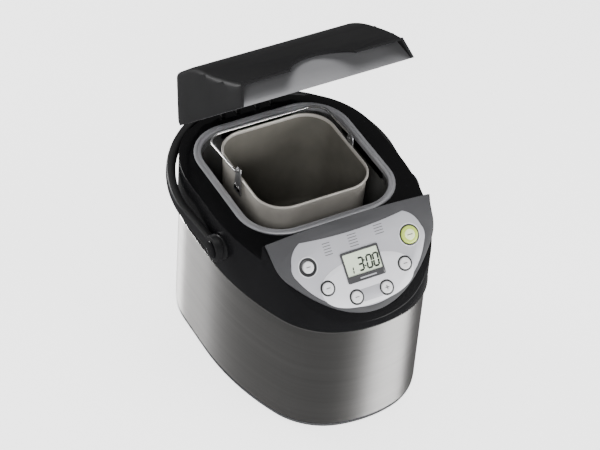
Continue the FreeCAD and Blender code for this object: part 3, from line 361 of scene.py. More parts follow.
def outline_rings(name, profile, finish, close=True):
    """A band that follows the body's outline: (how far out, height) points round a closed section."""
    return skin(name, [[(x, y, z) for x, y in body_outline(d)] for d, z in profile], finish, close=close)


def rect_rings(name, half, radius, centre, profile, finish, close=False, caps=(False, False)):
    """A band that follows a round-cornered rectangle: (how far out, height) points of its section."""
    rings = []
    for out, z in profile:
        corner = max(0.5, radius + out)
        rings.append([(x, y, z) for x, y in round_rect(half[0] + out, half[1] + out, corner, centre)])
    return skin(name, rings, finish, close=close, caps=caps)


# ---------------------------------------------------------------- steel body and plinth

wrap_section = [(-1.0, 9.0), (-0.5, 8.2), (0.0, 8.6), (0.0, 60.0), (0.0, 120.0), (0.0, 166.0),
                (0.0, 168.0), (-1.0, 168.0), (-1.0, 100.0)]
finished(outline_rings("steel_body", wrap_section, STEEL), "root", ["steel_wrap"])
trim_section = [(0.0, 167.2), (2.3, 167.4), (2.75, 167.8), (2.75, 168.3), (2.3, 168.7), (1.0, 168.7)]
finished(outline_rings("steel_top_trim", trim_section, BRIGHT), "root")
plinth_section = [(-6.0, 2.4), (-1.8, 2.4), (-0.8, 3.0), (-0.4, 4.0), (-0.2, 7.2), (-0.8, 8.2), (-6.0, 8.2)]
finished(outline_rings("plinth_band", plinth_section, PLINTH), "root")

for index, (x, y) in enumerate(((-88, -110), (88, -110), (-88, 105), (88, 105))):
    tread = [(2.0, 4.0), (10.4, 4.0), (11.0, 3.2), (10.6, 0.8), (9.6, 0.0), (6.0, 0.0), (5.4, 0.6),
             (1.0, 0.6)]
    foot = lathe(f"foot_{index}", tread, (x, y, 0), RUBBER)
    finished(foot, "root", ["rubber_feet"] if index == 0 else ())

# ---------------------------------------------------------------- upper housing

TILT = math.radians(43.0)
PANEL_Y, PANEL_Z = -130.0, 244.9
PANEL_THICK = 4.5
PANEL_REAR = -104.3
DECK, TROUGH, TROUGH_Y = 241.0, 237.4, 146.0
COWL_PROUD = 2.0
WRAP_TOP = 168.0


def slope_at(y, below=0.0):
    """Height at y of the panel's sloping face, or of a plane parallel to it and below it."""
    return PANEL_Z - below / math.cos(TILT) + (y - PANEL_Y) * math.tan(TILT)


# the oven chamber's centre in plan
CHAMBER = (0.0, 27.4)

PANEL = Matrix.Translation(Vector((0, PANEL_Y, PANEL_Z)) * MM) @ Matrix.Rotation(TILT, 4, "X")
# across and up the panel from its reference point, and radius
BUTTONS = {
    "crust": (-52.5, -39.6, 7.2),
    "minus": (-20.4, -60.0, 7.2),
    "plus": (20.4, -60.0, 7.2),
    "timer": (52.5, -39.6, 7.2),
    "menu": (-68.6, -8.8, 7.2),
    "start": (69.5, -8.6, 11.0),
}


def button_wells(extra, low, high):
    """One mesh of six plain cylinders, to cut the holes the buttons slide in."""
    points, faces = [], []
    turns = 48
    for u, v, radius in BUTTONS.values():
        base = len(points)
        ring = [(u + (radius + extra) * math.cos(2 * math.pi * i / turns),
                 v + (radius + extra) * math.sin(2 * math.pi * i / turns)) for i in range(turns)]
        points += [(x, y, low) for x, y in ring] + [(x, y, high) for x, y in ring]
        for i in range(turns):
            j = (i + 1) % turns
            faces.append((base + i, base + j, base + turns + j, base + turns + i))
        faces.append(tuple(base + i for i in reversed(range(turns))))
        faces.append(tuple(base + turns + i for i in range(turns)))
    return mesh_object("wells", points, faces, BLACK, PANEL)


def make_housing():
    housing = prism("upper_housing_shell", body_outline(COWL_PROUD), WRAP_TOP, 290.0, BLACK_GLOSS)
    front = PANEL_Y + (WRAP_TOP - slope_at(PANEL_Y, PANEL_THICK)) / math.tan(TILT)
    profile = [(front - 60, WRAP_TOP - 60 * math.tan(TILT)), (PANEL_REAR, slope_at(PANEL_REAR, PANEL_THICK)),
               (PANEL_REAR, DECK), (TROUGH_Y, DECK), (TROUGH_Y, TROUGH), (260, TROUGH), (260, 100)]
    boolean(housing, side_prism("profile", profile, 200.0, BLACK_GLOSS), "INTERSECT")
    bevelled(housing, 2.4, 4)
    hole = prism("hole", round_rect(100.0, 101.9, 50.0, CHAMBER), 120, 300, BLACK_GLOSS)
    boolean(housing, hole)
    boolean(housing, button_wells(0.8, -26.0, 20.0))
    return finished(housing, "root", ["upper_housing"], smooth=30)


make_housing()

# ---------------------------------------------------------------- control panel


def shield():
    """The panel's outline: a parabolic lower sweep that turns up at the flanks, and a bowed rear edge."""
    reach = 96.0
    low = -81.8

    def sweep(x):
        return low + 0.00645 * x * x

    lower = [(x, sweep(x)) for x in (reach * i / 30 for i in range(31))]
    knee, flank_end, hip = (reach, sweep(reach)), (105.6, -10.5), (107.6, 4.0)
    for i in range(1, 13):
        t = i / 12
        lower.append(tuple((1 - t) ** 2 * a + 2 * t * (1 - t) * b + t * t * c
                           for a, b, c in zip(knee, flank_end, hip)))
    lower = [(-x, y) for x, y in reversed(lower[1:])] + lower
    rear = three_point_arc((111.0, 31.0), (0.0, 35.0), (-111.0, 31.0), 24)
    return dedupe(lower + rear)


# the sphere that hollows the panel's rear edge: radius, and centre up the panel and above it
SCOOP_R, SCOOP_V, SCOOP_W = 201.0, 120.0, 178.0


def make_panel():
    panel = prism("control_panel_moulding", shield(), -PANEL_THICK, 0.0, CHARCOAL, PANEL)
    bevelled(panel, 1.1, 3, 50)
    scoop = [(SCOOP_R * math.sin(math.radians(k)), -SCOOP_R * math.cos(math.radians(k)))
             for k in range(1, 46)]
    boolean(panel, lathe("scoop", scoop, (0.0, SCOOP_V, SCOOP_W), CHARCOAL, turns=256, transform=PANEL))
    pocket = prism("pocket", overlay_outline(0.0), -0.5, 6.0, CHARCOAL, PANEL)
    boolean(panel, pocket)
    boolean(panel, button_wells(0.4, -10.0, 6.0))
    return finished(panel, "root", ["control_panel"], smooth=28)


def overlay_outline(inset):
    """The silver overlay: shoulders at both upper ends, dipping between them, and a round bottom."""
    top, side, low = 21.5 - inset, 90.0 - inset, -74.5 + inset
    left_high = three_point_arc((-70.0, top), (-80.0 + inset, 14.5), (-88.0 + inset, -1.0), 10)
    left_low = three_point_arc((-88.0 + inset, -1.0), (-side, -10.0), (-86.5 + inset, -20.0), 8)
    bottom = three_point_arc((-86.5 + inset, -20.0), (0.0, low), (86.5 - inset, -20.0), 60)
    right_low = [(-x, y) for x, y in reversed(left_low)]
    right_high = [(-x, y) for x, y in reversed(left_high)]
    dip = three_point_arc((70.0, top), (0.0, 17.0 - inset), (-70.0, top), 30)
    return dedupe(left_high + left_low + bottom + right_low + right_high + dip)


make_panel()


def flat_piece(name, outline, low, high, finish, edge=0.25, wells=None):
    """A thin plate in the panel's plane with softened edges."""
    plate = prism(name, outline, low, high, finish, PANEL)
    bevelled(plate, edge, 2, 50)
    if wells is not None:
        boolean(plate, button_wells(wells, -10.0, 10.0))
    return plate


overlay = flat_piece("silver_overlay", overlay_outline(0.15), -0.5, 0.35, SILVER, wells=0.4)
finished(overlay, "root", ["panel_overlay"], smooth=28)

ELLIPSE_V, ELLIPSE_HALF = -44.3, (61.8, 28.7)


def ellipse(inset):
    points = []
    for i in range(96):
        t = 2 * math.pi * i / 96
        c, s = math.cos(t), math.sin(t)
        points.append(((ELLIPSE_HALF[0] - inset) * math.copysign(abs(c) ** 0.88, c),
                       ELLIPSE_V + (ELLIPSE_HALF[1] - inset) * math.copysign(abs(s) ** 0.88, s)))
    return points


pale = flat_piece("pale_ellipse", ellipse(0.0), 0.2, 0.55, PALE_SILVER, wells=0.4)
finished(pale, "root", smooth=28)

# display: frame, cells, digits
LCD_HALF, LCD_V = (25.4, 19.0), -24.5
WINDOW_HALF, WINDOW_V = (23.2, 13.4), -21.8


def make_display_frame():
    """A frame whose window sits above its middle, with a softened outer edge."""
    top, softened = 1.6, 0.35
    outer, inner = (LCD_HALF, LCD_V, 2.0), (WINDOW_HALF, WINDOW_V, 1.0)
    section = ((outer, 0.0, 0.0), (outer, top - 0.3, 0.0), (outer, top, softened), (inner, top, 0.0),
               (inner, 0.4, 0.0))
    rings = []
    for (half, middle, corner), z, pull in section:
        outline = round_rect(half[0] - pull, half[1] - pull, corner, (0, middle), 8)
        rings.append([(x, y, z) for x, y in outline])
    return skin("display_frame", rings, DISPLAY_DARK, close=True, transform=PANEL)


finished(make_display_frame(), "root", ["display_bezel"])
cell_outline = round_rect(WINDOW_HALF[0] + 0.4, WINDOW_HALF[1] + 0.4, 1.0, (0, WINDOW_V), 6)
cells = prism("display_cells", cell_outline, 0.1, 0.8, DISPLAY, PANEL)
finished(cells, "root", ["display_module", "display_lens"])

SEGMENTS = {"0": "abcdef", "1": "bc", "3": "abcdg"}
DIGIT_LEAN, DIGIT_LOW, DIGIT_HIGH = 0.1, 0.78, 0.95


def digit(name, character, left, bottom, width, height, stroke):
    """One seven-segment numeral standing on the display's cells."""
    middle = bottom + height / 2
    top = bottom + height
    bars = {
        "a": ((left, top), (left + width, top)),
        "b": ((left + width, top), (left + width, middle)),
        "c": ((left + width, middle), (left + width, bottom)),
        "d": ((left, bottom), (left + width, bottom)),
        "e": ((left, middle), (left, bottom)),
        "f": ((left, top), (left, middle)),
        "g": ((left, middle), (left + width, middle)),
    }
    points, faces = [], []
    for key in SEGMENTS[character]:
        (x0, y0), (x1, y1) = bars[key]
        run = Vector((x1 - x0, y1 - y0)).normalized()
        side = Vector((-run.y, run.x)) * stroke / 2
        start, end = Vector((x0, y0)) + run * stroke * 0.3, Vector((x1, y1)) - run * stroke * 0.3
        tip0, tip1 = start - run * stroke * 0.2, end + run * stroke * 0.2
        shape = [tip0, start + side, end + side, tip1, end - side, start - side]
        base = len(points)
        for z in (DIGIT_LOW, DIGIT_HIGH):
            points += [(p.x + (p.y - bottom) * DIGIT_LEAN, p.y, z) for p in shape]
        faces.append(tuple(base + 6 + i for i in range(6)))
        faces += [(base + i, base + (i + 1) % 6, base + 6 + (i + 1) % 6, base + 6 + i) for i in range(6)]
    made = mesh_object(name, points, faces, DIGIT, PANEL)
    return finished(made, "root")


digit("digit_programme", "1", -18.0, -33.0, 3.4, 8.0, 1.6)
digit("digit_hours", "3", -6.6, -31.5, 6.2, 15.0, 2.3)
digit("digit_tens", "0", 5.0, -31.5, 6.2, 15.0, 2.3)
digit("digit_minutes", "0", 14.0, -31.5, 6.2, 15.0, 2.3)
for index, v in enumerate((-27.6, -20.6)):
    section = [(0.3, DIGIT_LOW), (1.1, DIGIT_LOW), (1.1, 0.93), (0.3, DIGIT_HIGH)]
    dot = lathe(f"display_colon_{index}", section, (2.6, v, 0), DIGIT, turns=16, transform=PANEL)
    finished(dot, "root")

# plain bars where the panel's lines of print are: each column's place, and its rows
BAR_COLUMNS = {
    -38.0: (12.0, 8.5, 5.0, 1.5, -2.0),
    -4.0: (13.0, 9.5, 6.0, 2.5, -1.0),
    32.0: (14.5, 11.0, 7.5, 4.0),
}
BAR_THICK, BAR_LEFT, NAME_SHIFT = 0.15, 5.0, 50


def bar(name, u, v, length, height, low=0.3, finish=INK):
    outline = round_rect(length / 2, height / 2, height * 0.45, (u, v), 4, 1)
    return finished(prism(name, outline, low, low + BAR_THICK, finish, PANEL), "root")


for column, rows in BAR_COLUMNS.items():
    for row, v in enumerate(rows):
        length = 8.5 + 3.5 * ((row * 3 + int(column)) % 3) / 2
        bar(f"print_{int(column) + NAME_SHIFT}_{row}", column + length / 2 - BAR_LEFT, v, length, 1.0)
bar("display_caption", 2.0, -40.0, 22.0, 1.5, 1.6, SILVER)
marker = flat_piece("selector_mark", round_rect(13.0, 7.6, 1.0, (0.0, -60.4), 4), 0.4, 0.75, SILVER, 0.12)
finished(marker, "root")

# ---------------------------------------------------------------- buttons

for label, (u, v, radius) in BUTTONS.items():
    start = label == "start"
    cap_finish, cap_slot = (GREEN_CAP, "button_green") if start else (WHITE_CAP, "button_white")
    dome = [(radius - 0.5, -7.0), (radius, -6.5), (radius, 1.2), (radius - 0.3, 1.8), (radius - 1.0, 2.15),
            (radius * 0.6, 2.1), (radius * 0.25, 2.0), (0.3, 1.98)]
    cap = lathe(f"cap_{label}", dome, (u, v, 0), cap_finish, transform=PANEL)
    finished(cap, f"button_{label}", [f"button_{label}"], smooth=50)
    if start:
        inset = [(6.6, 1.9), (6.6, 2.3), (6.2, 2.4), (0.3, 2.35)]
        centre = lathe("cap_start_centre", inset, (u, v, 0), PALE_GREEN, transform=PANEL)
        finished(centre, "button_start")
    mark = prism(f"mark_{label}", round_rect(2.6 if not start else 3.6, 0.55, 0.3, (u, v), 4, 1), 1.9,
                 2.3 if not start else 2.5, INK, PANEL)
    finished(mark, f"button_{label}")
    if label == "plus":
        upright = prism("mark_plus_upright", round_rect(0.55, 2.6, 0.3, (u, v), 4, 1), 1.9, 2.31, INK, PANEL)
        finished(upright, "button_plus")
    wide = {"menu": 3.6, "start": 1.4}.get(label, 2.0)
    inner = radius + 0.45
    outer = inner + wide
    section = [(inner, 0.2), (inner, 0.75), (inner + 0.3, 0.95), (outer - 0.4, 0.85), (outer, 0.5),
               (outer, 0.2)]
    ring = lathe(f"ring_{label}", section, (u, v, 0), RING, transform=PANEL)
    trimmed = bmesh.new()
    trimmed.from_mesh(ring.data)
    caps = [f for f in trimmed.faces if len(f.verts) > 4]
    bmesh.ops.delete(trimmed, geom=caps, context="FACES_ONLY")
    edges = [e for e in trimmed.edges if e.is_boundary]
    bmesh.ops.bridge_loops(trimmed, edges=edges)
    bmesh.ops.recalc_face_normals(trimmed, faces=trimmed.faces)
    trimmed.to_mesh(ring.data)
    trimmed.free()
    finished(ring, "root", ["button_rings"] if label == "menu" else ())
    # menu and start get a thin white ring outside the dark ring: a painted highlight along the dark ring's
    # outer edge
    if label in ("menu", "start"):
        painted_highlight_section = [(outer + 0.5, 0.2), (outer + 0.55, 0.6), (outer + 1.3, 0.6), (outer + 1.35, 0.2)]
        outline = turned_ring(f"painted_highlight_ring_{label}", painted_highlight_section, (u, v), WHITE_CAP, 64, PANEL)
        finished(outline, "root")

# ---------------------------------------------------------------- oven chamber and its trim ring

CHAMBER_HALF, CHAMBER_CORNER = (97.0, 98.9), 47.0

liner = [(1.0, 237.0), (0.0, 237.0), (0.0, 200.0), (0.0, 150.0), (0.0, 108.0), (-0.7, 103.5),
         (-3.0, 100.0), (-7.0, 98.4), (-12.0, 98.0), (-84.0, 98.0), (-84.0, 97.0), (-8.0, 97.0),
         (1.0, 102.0), (1.0, 150.0)]
chamber = rect_rings("chamber_liner", CHAMBER_HALF, CHAMBER_CORNER, CHAMBER, liner, CHAMBER_COAT, close=True)
finished(chamber, "root", ["oven_chamber"])
rim = [(0.0, 226.0), (0.0, 241.9), (0.25, 242.7), (1.0, 243.0), (3.6, 243.0), (4.0, 242.3), (5.0, 242.2),
       (5.4, 243.0), (8.2, 243.0), (8.9, 242.5), (9.0, 241.0), (2.6, 241.0), (2.6, 226.0), (1.2, 226.0)]
trim_ring = rect_rings("chamber_trim", CHAMBER_HALF, CHAMBER_CORNER, CHAMBER, rim, RIM_GREY, close=True)
finished(trim_ring, "root", ["chamber_rim"], smooth=50)

socket = [(15.0, 98.0), (40.5, 98.0), (40.5, 106.0), (40.1, 106.8), (39.3, 107.0), (37.4, 107.0),
          (36.8, 106.6), (36.7, 101.0), (36.2, 100.3), (30.0, 100.1), (15.0, 100.0)]
finished(turned_ring("pan_socket_ring", socket, CHAMBER, ZINC), "root", ["pan_socket"])

# ---------------------------------------------------------------- bread pan

PAN_HALF, PAN_CORNER = (70.0, 70.0), 31.0
PAN_FLOOR, PAN_RIM = 114.0, 254.0


def pan_taper(z):
    """How far the pan's wall stands out at height z from where it is at the floor."""
    return 5.5 * (z - PAN_FLOOR) / (PAN_RIM - PAN_FLOOR)


outer_wall = [(-58.0, 114.4), (-9.0, 114.2), (-4.0, 114.8), (-1.4, 116.4), (-0.2, 119.5), (0.3, 123.0)]
outer_wall += [(pan_taper(z), z) for z in (140, 165, 190, 215, 240, 248.5)]
outer_wall += [(5.7, 249.6), (6.6, 250.4), (7.0, 251.6), (6.9, 253.0), (6.2, 254.0), (5.2, 254.3),
               (4.3, 253.8), (3.9, 252.6), (3.9, 250.0)]
pan = rect_rings("pan_body", PAN_HALF, PAN_CORNER, CHAMBER, outer_wall, PAN_OUT, caps=(True, False))
finished(pan, "pan", ["bread_pan"], smooth=50)
inner_wall = [(3.9, 250.2)] + [(pan_taper(z) - 1.5, z) for z in (240, 215, 190, 165, 140, 126)]
inner_wall += [(-1.9, 121.5), (-3.6, 118.2), (-6.8, 116.4), (-11.0, 115.9), (-20.0, 115.6), (-58.0, 115.6)]
lining = rect_rings("pan_lining", PAN_HALF, PAN_CORNER, CHAMBER, inner_wall, PAN_IN, caps=(False, True))
finished(lining, "pan", smooth=50)
hub = [(14.0, 115.4), (13.0, 116.4), (12.2, 118.0), (12.0, 126.6), (11.4, 127.7), (10.4, 128.0), (4.2, 128.0),
       (4.1, 114.0), (12.0, 114.0)]
finished(turned_ring("pan_hub", hub, CHAMBER, PAN_IN), "pan")
foot = [(30.0, 101.0), (35.4, 101.0), (36.0, 101.6), (36.0, 113.4), (36.8, 114.2), (30.0, 114.2)]
finished(turned_ring("pan_foot", foot, CHAMBER, ZINC), "pan", ["pan_foot_ring"])

BAIL_Y, BAIL_Z = 27.4, 262.0
for side, word in ((-1, "left"), (1, "right")):
    plate = []
    for x in (side * 77.05, side * 78.55):
        ring = []
        for y, z in ((9, 228.6), (8.2, 228.0), (-8.2, 228.0), (-9, 228.6)):
            ring.append((x, BAIL_Y + y, z))
        ring += [(x, y, z) for y, z in arc((BAIL_Y, BAIL_Z - 1.4), 6.4, 186, -6, 16)]
        plate.append(ring)
    lug = skin(f"pan_lug_{word}", plate, ZINC, caps=(True, True))
    bevelled(lug, 0.3, 2, 50)
    finished(lug, "pan", ["pan_lugs"] if side < 0 else ())
    for k, dy in enumerate((-4, 4)):
        head = [(1.2, 75.0), (2.2, 75.0), (2.2, 78.6), (3.4, 78.6), (3.3, 79.2), (2.4, 79.9), (0.9, 80.2)]
        rivet = lathe(f"pan_rivet_{word}_{k}", [(r, side * h) for r, h in head], (0, BAIL_Y + dy, 236.0),
                      BRIGHT, "X", 24)
        finished(rivet, "pan", ["pan_rivets"] if side < 0 and k == 0 else ())


def rounded_path(corners, radii, steps=8):
    """Points along straight runs whose inner corners are rounded by arcs."""
    corners = [Vector(c) for c in corners]
    points = [corners[0]]
    for before, here, after, radius in zip(corners, corners[1:], corners[2:], radii):
        back, ahead = (before - here).normalized(), (after - here).normalized()
        half = math.acos(max(-1, min(1, back.dot(ahead)))) / 2
        reach = radius / math.tan(half)
        centre = here + (back + ahead).normalized() * radius / math.sin(half)
        a, b = here + back * reach - centre, here + ahead * reach - centre
        opening = a.angle(b)
        for i in range(steps + 1):
            t = opening * i / steps
            points.append(centre + (a * math.sin(opening - t) + b * math.sin(t)) / math.sin(opening))
    points.append(corners[-1])
    return points


def tube(name, points, radius, finish, turns=16):
    """A round wire along points, its section carried without twist and its ends rounded."""
    rings = []
    count = len(points)
    side = None
    for i, p in enumerate(points):
        run = (points[min(i + 1, count - 1)] - points[max(i - 1, 0)]).normalized()
        if side is None:
            side = run.orthogonal().normalized()
        side = (side - run * side.dot(run)).normalized()
        other = run.cross(side)
        ends = [(-0.5, 0.5), (-0.15, 0.87)] if i == 0 else []
        ends += [(0.0, 1.0)]
        ends += [(0.15, 0.87), (0.5, 0.5)] if i == count - 1 else []
        for shift, share in ends:
            turn = [2 * math.pi * k / turns for k in range(turns)]
            middle = p + run * shift * radius
            rings.append([middle + (side * math.cos(a) + other * math.sin(a)) * radius * share for a in turn])
    return skin(name, rings, finish, caps=(True, True))


DROOP, REACH, BAIL_X, WIRE = math.radians(5.5), 82.0, 80.8, 1.6
bail_y = BAIL_Y + REACH * math.cos(DROOP)
bail_z = BAIL_Z - REACH * math.sin(DROOP)
bail_corners = [(-74.5, BAIL_Y, BAIL_Z), (-BAIL_X, BAIL_Y, BAIL_Z), (-BAIL_X, bail_y, bail_z),
                (BAIL_X, bail_y, bail_z), (BAIL_X, BAIL_Y, BAIL_Z), (74.5, BAIL_Y, BAIL_Z)]
bail = tube("bail_wire", rounded_path(bail_corners, (2.2, 20.0, 20.0, 2.2)), WIRE, BRIGHT)
finished(bail, "bail", ["pan_bail"], smooth=60)

# ---------------------------------------------------------------- carry handle

PIVOT_Y, PIVOT_Z = -30.0, 206.0
HANDLE = Matrix.Translation(Vector((0, PIVOT_Y, PIVOT_Z)) * MM) @ Matrix.Rotation(math.radians(5.0), 4, "X")
BOW_R, BOW_Y, ARM_X = 144.0, 75.0, 137.0


def make_bow():
    """The carry handle: two arms that lean out to a half circle, with a rounded, oblong section."""
    lean = BOW_R - ARM_X
    path = [(-ARM_X - lean * i / 8, 4.0 + (BOW_Y - 4.0) * i / 8) for i in range(8)]
    path += [(-x, y) for x, y in arc((0, BOW_Y), BOW_R, 0, 180, 64)]
    path += [(-x, y) for x, y in reversed(path[:8])]
    rings = []
    for i, (x, y) in enumerate(path):
        ahead, behind = path[min(i + 1, len(path) - 1)], path[max(i - 1, 0)]
        run = Vector((ahead[0] - behind[0], ahead[1] - behind[1])).normalized()
        outward = Vector((-run.y, run.x))
        ring = []
        for k in range(28):
            t = 2 * math.pi * k / 28
            c, s = math.cos(t), math.sin(t)
            across = 6.0 * math.copysign(abs(c) ** 0.5, c)
            along = (7.5 + 3.0 * max(0.0, 1 - y / BOW_Y)) * math.copysign(abs(s) ** 0.6, s)
            ring.append((x + outward.x * across, y + outward.y * across, along))
        rings.append(ring)
    return skin("handle_bow", rings, BLACK, caps=(True, True), transform=HANDLE)


finished(make_bow(), "handle", ["carry_handle"], smooth=60)
for side, word in ((-1, "left"), (1, "right")):
    disc = [(6.2, 132.0), (15.8, 132.0), (17.0, 133.0), (17.0, 139.4), (16.4, 141.0), (14.8, 141.9),
            (13.4, 141.8), (12.6, 141.1), (6.0, 141.0)]
    boss = [(2.0, 118.0), (17.0, 118.0), (16.4, 129.0), (15.2, 130.6), (14.6, 131.6), (6.0, 131.7),
            (6.0, 137.0), (1.0, 137.2)]
    cap = [(1.0, 140.6), (11.4, 140.6), (11.4, 142.6), (10.6, 143.4), (8.0, 143.9), (1.0, 144.0)]
    for name, profile, body, finish, nodes in (
        ("handle_disc", disc, "handle", BLACK, []),
        ("handle_boss", boss, "root", BLACK, ["handle_pivots"]),
        ("handle_cap", cap, "handle", BLACK_GLOSS, ["handle_pivot_caps"]),
    ):
        section = [(r, side * h) for r, h in profile]
        turned = lathe(f"{name}_{word}", section, (0, PIVOT_Y, PIVOT_Z), finish, "X")
        finished(turned, body, nodes if side < 0 else ())

# ---------------------------------------------------------------- lid

HINGE_Y, HINGE_Z = 156.1, 250.5
OPEN = math.radians(43.3)
HINGE_AT = Vector((0, HINGE_Y, HINGE_Z)) * MM
LID_OPEN = Matrix.Translation(HINGE_AT) @ Matrix.Rotation(-OPEN, 4, "X") @ Matrix.Translation(-HINGE_AT)
LID_Z, LID_FRONT = 243.5, -103.0
LID_DRAFT = math.tan(math.radians(15.0))
LID_LOW, LID_HIGH, LID_RUN = 26.5, 62.0, 130.0
CROWN = 2.2


def lid_profile(drop, front):
    """Side profile of the lid: a slope behind the front edge that rounds into a flat top."""
    slope, rear = math.tan(math.radians(17.0)), 230.0
    low, high = LID_Z + LID_LOW - drop, LID_Z + LID_HIGH - drop
    rise_y, end_y = LID_FRONT + LID_RUN * 0.62, LID_FRONT + LID_RUN
    rise_z = low + (rise_y - LID_FRONT) * slope
    middle = ((rise_y + end_y) / 2 + 3, (rise_z + high) / 2 + 2.4)
    curve = three_point_arc((rise_y, rise_z), middle, (end_y, high), 10)
    front_high = (front, low + (front - LID_FRONT) * slope)
    return [(front, LID_Z - 40), front_high, *curve, (rear, high), (rear, LID_Z - 40)]


def shaped(obj):
    """Crown the lid's top, and draw its sides in slightly towards the hinge, most at the mouth."""
    for vertex in obj.data.vertices:
        lift = max(0.0, vertex.co.z / MM - LID_Z) / LID_HIGH
        vertex.co.z += CROWN * MM * lift * (1 - (vertex.co.x / MM / 125.0) ** 2)
        back = min(1.0, max(0.0, (vertex.co.y / MM - LID_FRONT) / 233.0))
        mouth = max(0.0, 1 - (vertex.co.z / MM - LID_Z) / 9.0) ** 2
        vertex.co.x *= 1 - 0.03 * back - 0.022 * back * mouth
    return obj


def lid_form(name, proud, bottom, drop, front, finish):
    """The lid's outside, or a form inside it: drafted walls over the body's outline, cut to the profile."""
    rings = []
    for rise in (0.0, 3.0, 6.0, 10.0, 20.0, 35.0, 50.0, 70.0):
        level = bottom + rise
        out = proud - (level - LID_Z) * LID_DRAFT
        rings.append([(x, y, level) for x, y in body_outline(out)])
    walls = skin(name, rings, finish, caps=(True, True))
    return boolean(walls, side_prism("lid_side", lid_profile(drop, front), 220.0, finish), "INTERSECT")


NOTCH_Y, NOTCH_R = LID_FRONT - 16.0, 46.0


def make_lid():
    shell = lid_form("lid_cover", 2.0, LID_Z, 0.0, LID_FRONT, LID_TOP)
    bevel_top_only(shell, 5.5, 5)
    hollow = lid_form("lid_hollow", -1.2, LID_Z - 1.0, 3.2, LID_FRONT - 25.0, LID_TOP)
    boolean(shell, hollow)
    notch = prism("notch", arc((0, NOTCH_Y), NOTCH_R, 0, 354, 59), 230, 330, LID_TOP)
    boolean(shell, notch)
    window = prism("window", [(-40, 148), (40, 148), (40, 190), (-40, 190)], 235.0, 257.0, LID_TOP)
    boolean(shell, window)
    bevelled(shell, 0.9, 3, 42)
    shaped(shell)
    shell.data.transform(LID_OPEN)
    finished(shell, "lid", ["lid_shell"], smooth=32)


def bevel_top_only(obj, width, segments):
    """Round the edges above the lid's mouth, and leave the mouth's own edge and the front face crisp."""
    change = obj.modifiers.new("bevel", "BEVEL")
    change.width = width * MM
    change.segments = segments
    change.use_clamp_overlap = False
    weights = obj.data.attributes.new("bevel_weight_edge", "FLOAT", "EDGE")
    limit = (LID_Z + 3.0) * MM
    for edge in obj.data.edges:
        a, b = (obj.data.vertices[i].co for i in edge.vertices)
        front = max(a.y, b.y) < (LID_FRONT + 0.5) * MM
        weights.data[edge.index].value = 0.0 if front or min(a.z, b.z) < limit else 1.0
    sharp = bmesh.new()
    sharp.from_mesh(obj.data)
    layer = sharp.edges.layers.float.get("bevel_weight_edge")
    for edge in sharp.edges:
        if len(edge.link_faces) == 2 and edge.calc_face_angle(0.0) < math.radians(40):
            edge[layer] = 0.0
    sharp.to_mesh(obj.data)
    sharp.free()
    change.limit_method = "WEIGHT"
    apply_modifiers(obj)


make_lid()


def make_lid_front():
    """The recessed front wall, leaning back so that it clears the finger notch."""
    foot, rise, lean, thick = LID_FRONT + 5.0, 45.0, 40.0, 2.5
    top = LID_Z + rise
    profile = [(foot, LID_Z), (foot + thick, LID_Z), (foot + thick + lean, top), (foot + lean, top)]
    wall = side_prism("lid_front_panel", profile, 150.0, LID_SILVER)
    inside = lid_form("lid_inside", -1.3, LID_Z, 3.3, LID_FRONT - 25.0, LID_SILVER)
    boolean(wall, inside, "INTERSECT")
    bevelled(wall, 0.5, 2, 60)
    shaped(wall)
    wall.data.transform(LID_OPEN)
    finished(wall, "lid", ["lid_front_wall"], smooth=40)


make_lid_front()

# ---------------------------------------------------------------- the remaining CAD nodes keep their shape

# each node with its finish and how wide its softened edges are
KEPT = {
    "base_plate": (BLACK, 0.5), "circuit_board": (BOARD, 0.1), "board_posts": (BLACK, 0.3),
    "heating_element": (HEATER, 0), "temperature_sensor": (BRIGHT, 0.3),
    "drive_bearing": (BRONZE, 0.4), "bearing_bridge": (ZINC, 0.3), "drive_shaft": (BRIGHT, 0.4),
    "drive_coupling": (ZINC, 0.4), "large_pulley": (NYLON, 0.4), "motor": (MOTOR, 0.6),
    "motor_pulley": (ZINC, 0.3), "motor_shaft": (BRIGHT, 0.3), "motor_posts": (ZINC, 0.3),
    "drive_belt": (RUBBER, 0.3), "cord_gland": (BLACK, 0.6), "power_board": (BOARD, 0.1),
    "transformer": (IRON, 0.6), "power_board_posts": (BLACK, 0.3), "kneading_shaft": (BRIGHT, 0.5),
    "pan_coupling": (ZINC, 0.3), "kneading_paddle": (PAN_IN, 0.8), "lid_liner": (ALUMINIUM, 0.3),
    "lid_seal": (SILICONE, 0.3), "lid_hinge_knuckles": (BLACK, 0.5), "hinge_lugs": (BLACK, 0.4),
    "hinge_pins": (BRIGHT, 0.4),
}
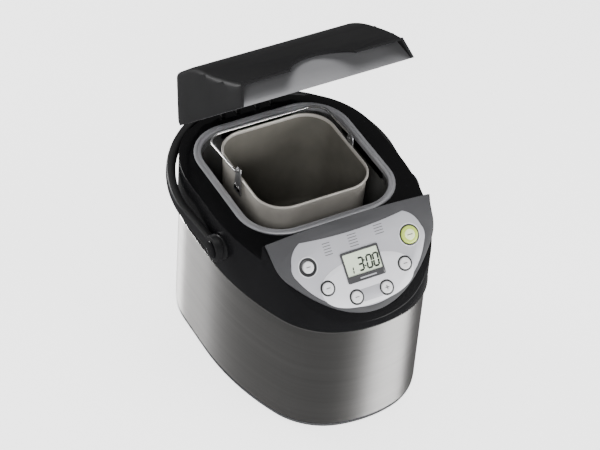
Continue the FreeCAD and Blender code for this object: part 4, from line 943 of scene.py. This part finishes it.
for name, (finish, edge) in KEPT.items():
    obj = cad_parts[name]
    obj.data.materials.clear()
    obj.data.materials.append(finish)
    if edge:
        flat = obj.modifiers.new("planar", "DECIMATE")
        flat.decimate_type = "DISSOLVE"
        flat.angle_limit = math.radians(1.0)
        soft = obj.modifiers.new("edge", "BEVEL")
        soft.width = edge * MM
        soft.segments = 2
        soft.limit_method = "ANGLE"
        soft.angle_limit = math.radians(40)
    obj.data.shade_smooth()
    obj.data.set_sharp_from_angle(angle=math.radians(35))

# ---------------------------------------------------------------- floor and light

FLOOR_HALF = 8
floor_corners = [(x * FLOOR_HALF, y * FLOOR_HALF, 0) for x, y in ((-1, -1), (1, -1), (1, 1), (-1, 1))]
floor_mesh = bpy.data.meshes.new("floor")
floor_mesh.from_pydata(floor_corners, [], [(0, 1, 2, 3)])
floor = bpy.data.objects.new("floor", floor_mesh)
bpy.context.scene.collection.objects.link(floor)
floor_mesh.materials.append(material("floor", (0.9, 0.9, 0.9), 0.8, tint=0.005, broad=2, fine=60, bump=0.01,
                                     Emission_Color=(1, 1, 1, 1), Emission_Strength=2.2))
# the steel and the black plastics mirror the lights and the studio, not the bright floor
floor.visible_glossy = False


def softbox(name, place, aim, size, power, size_y=None, mirrored=True):
    """A soft rectangular light. An unmirrored one lights surfaces, and doesn't show in glossy ones."""
    data = bpy.data.lights.new(name, "AREA")
    data.shape = "RECTANGLE"
    data.size = size
    data.size_y = size_y or size
    data.energy = power
    lamp = bpy.data.objects.new(name, data)
    bpy.context.scene.collection.objects.link(lamp)
    lamp.location = place
    lamp.visible_glossy = mirrored
    lamp.rotation_mode = "QUATERNION"
    lamp.rotation_quaternion = (Vector(aim) - Vector(place)).to_track_quat("-Z", "Y")


softbox("light_top", (0.2, 0.6, 2.6), (0, 0, 0.2), 2.0, 36)
softbox("light_key", (-1.9, -2.3, 2.3), (0, 0, 0.25), 1.3, 60, mirrored=False)
softbox("light_low", (-0.6, -2.8, 0.7), (0, 0, 0.3), 1.4, 52, mirrored=False)
softbox("light_left", (-1.3, 2.1, 0.6), (0, 0, 0.15), 1.0, 60, 1.1)
softbox("light_front", (1.5, -1.9, 0.6), (0, 0, 0.15), 1.5, 55, 1.1)

world = bpy.data.worlds.new("studio")
bpy.context.scene.world = world
world.use_nodes = True
world.node_tree.nodes["Background"].inputs["Color"].default_value = (1, 1, 1, 1)
world.node_tree.nodes["Background"].inputs["Strength"].default_value = 0.15
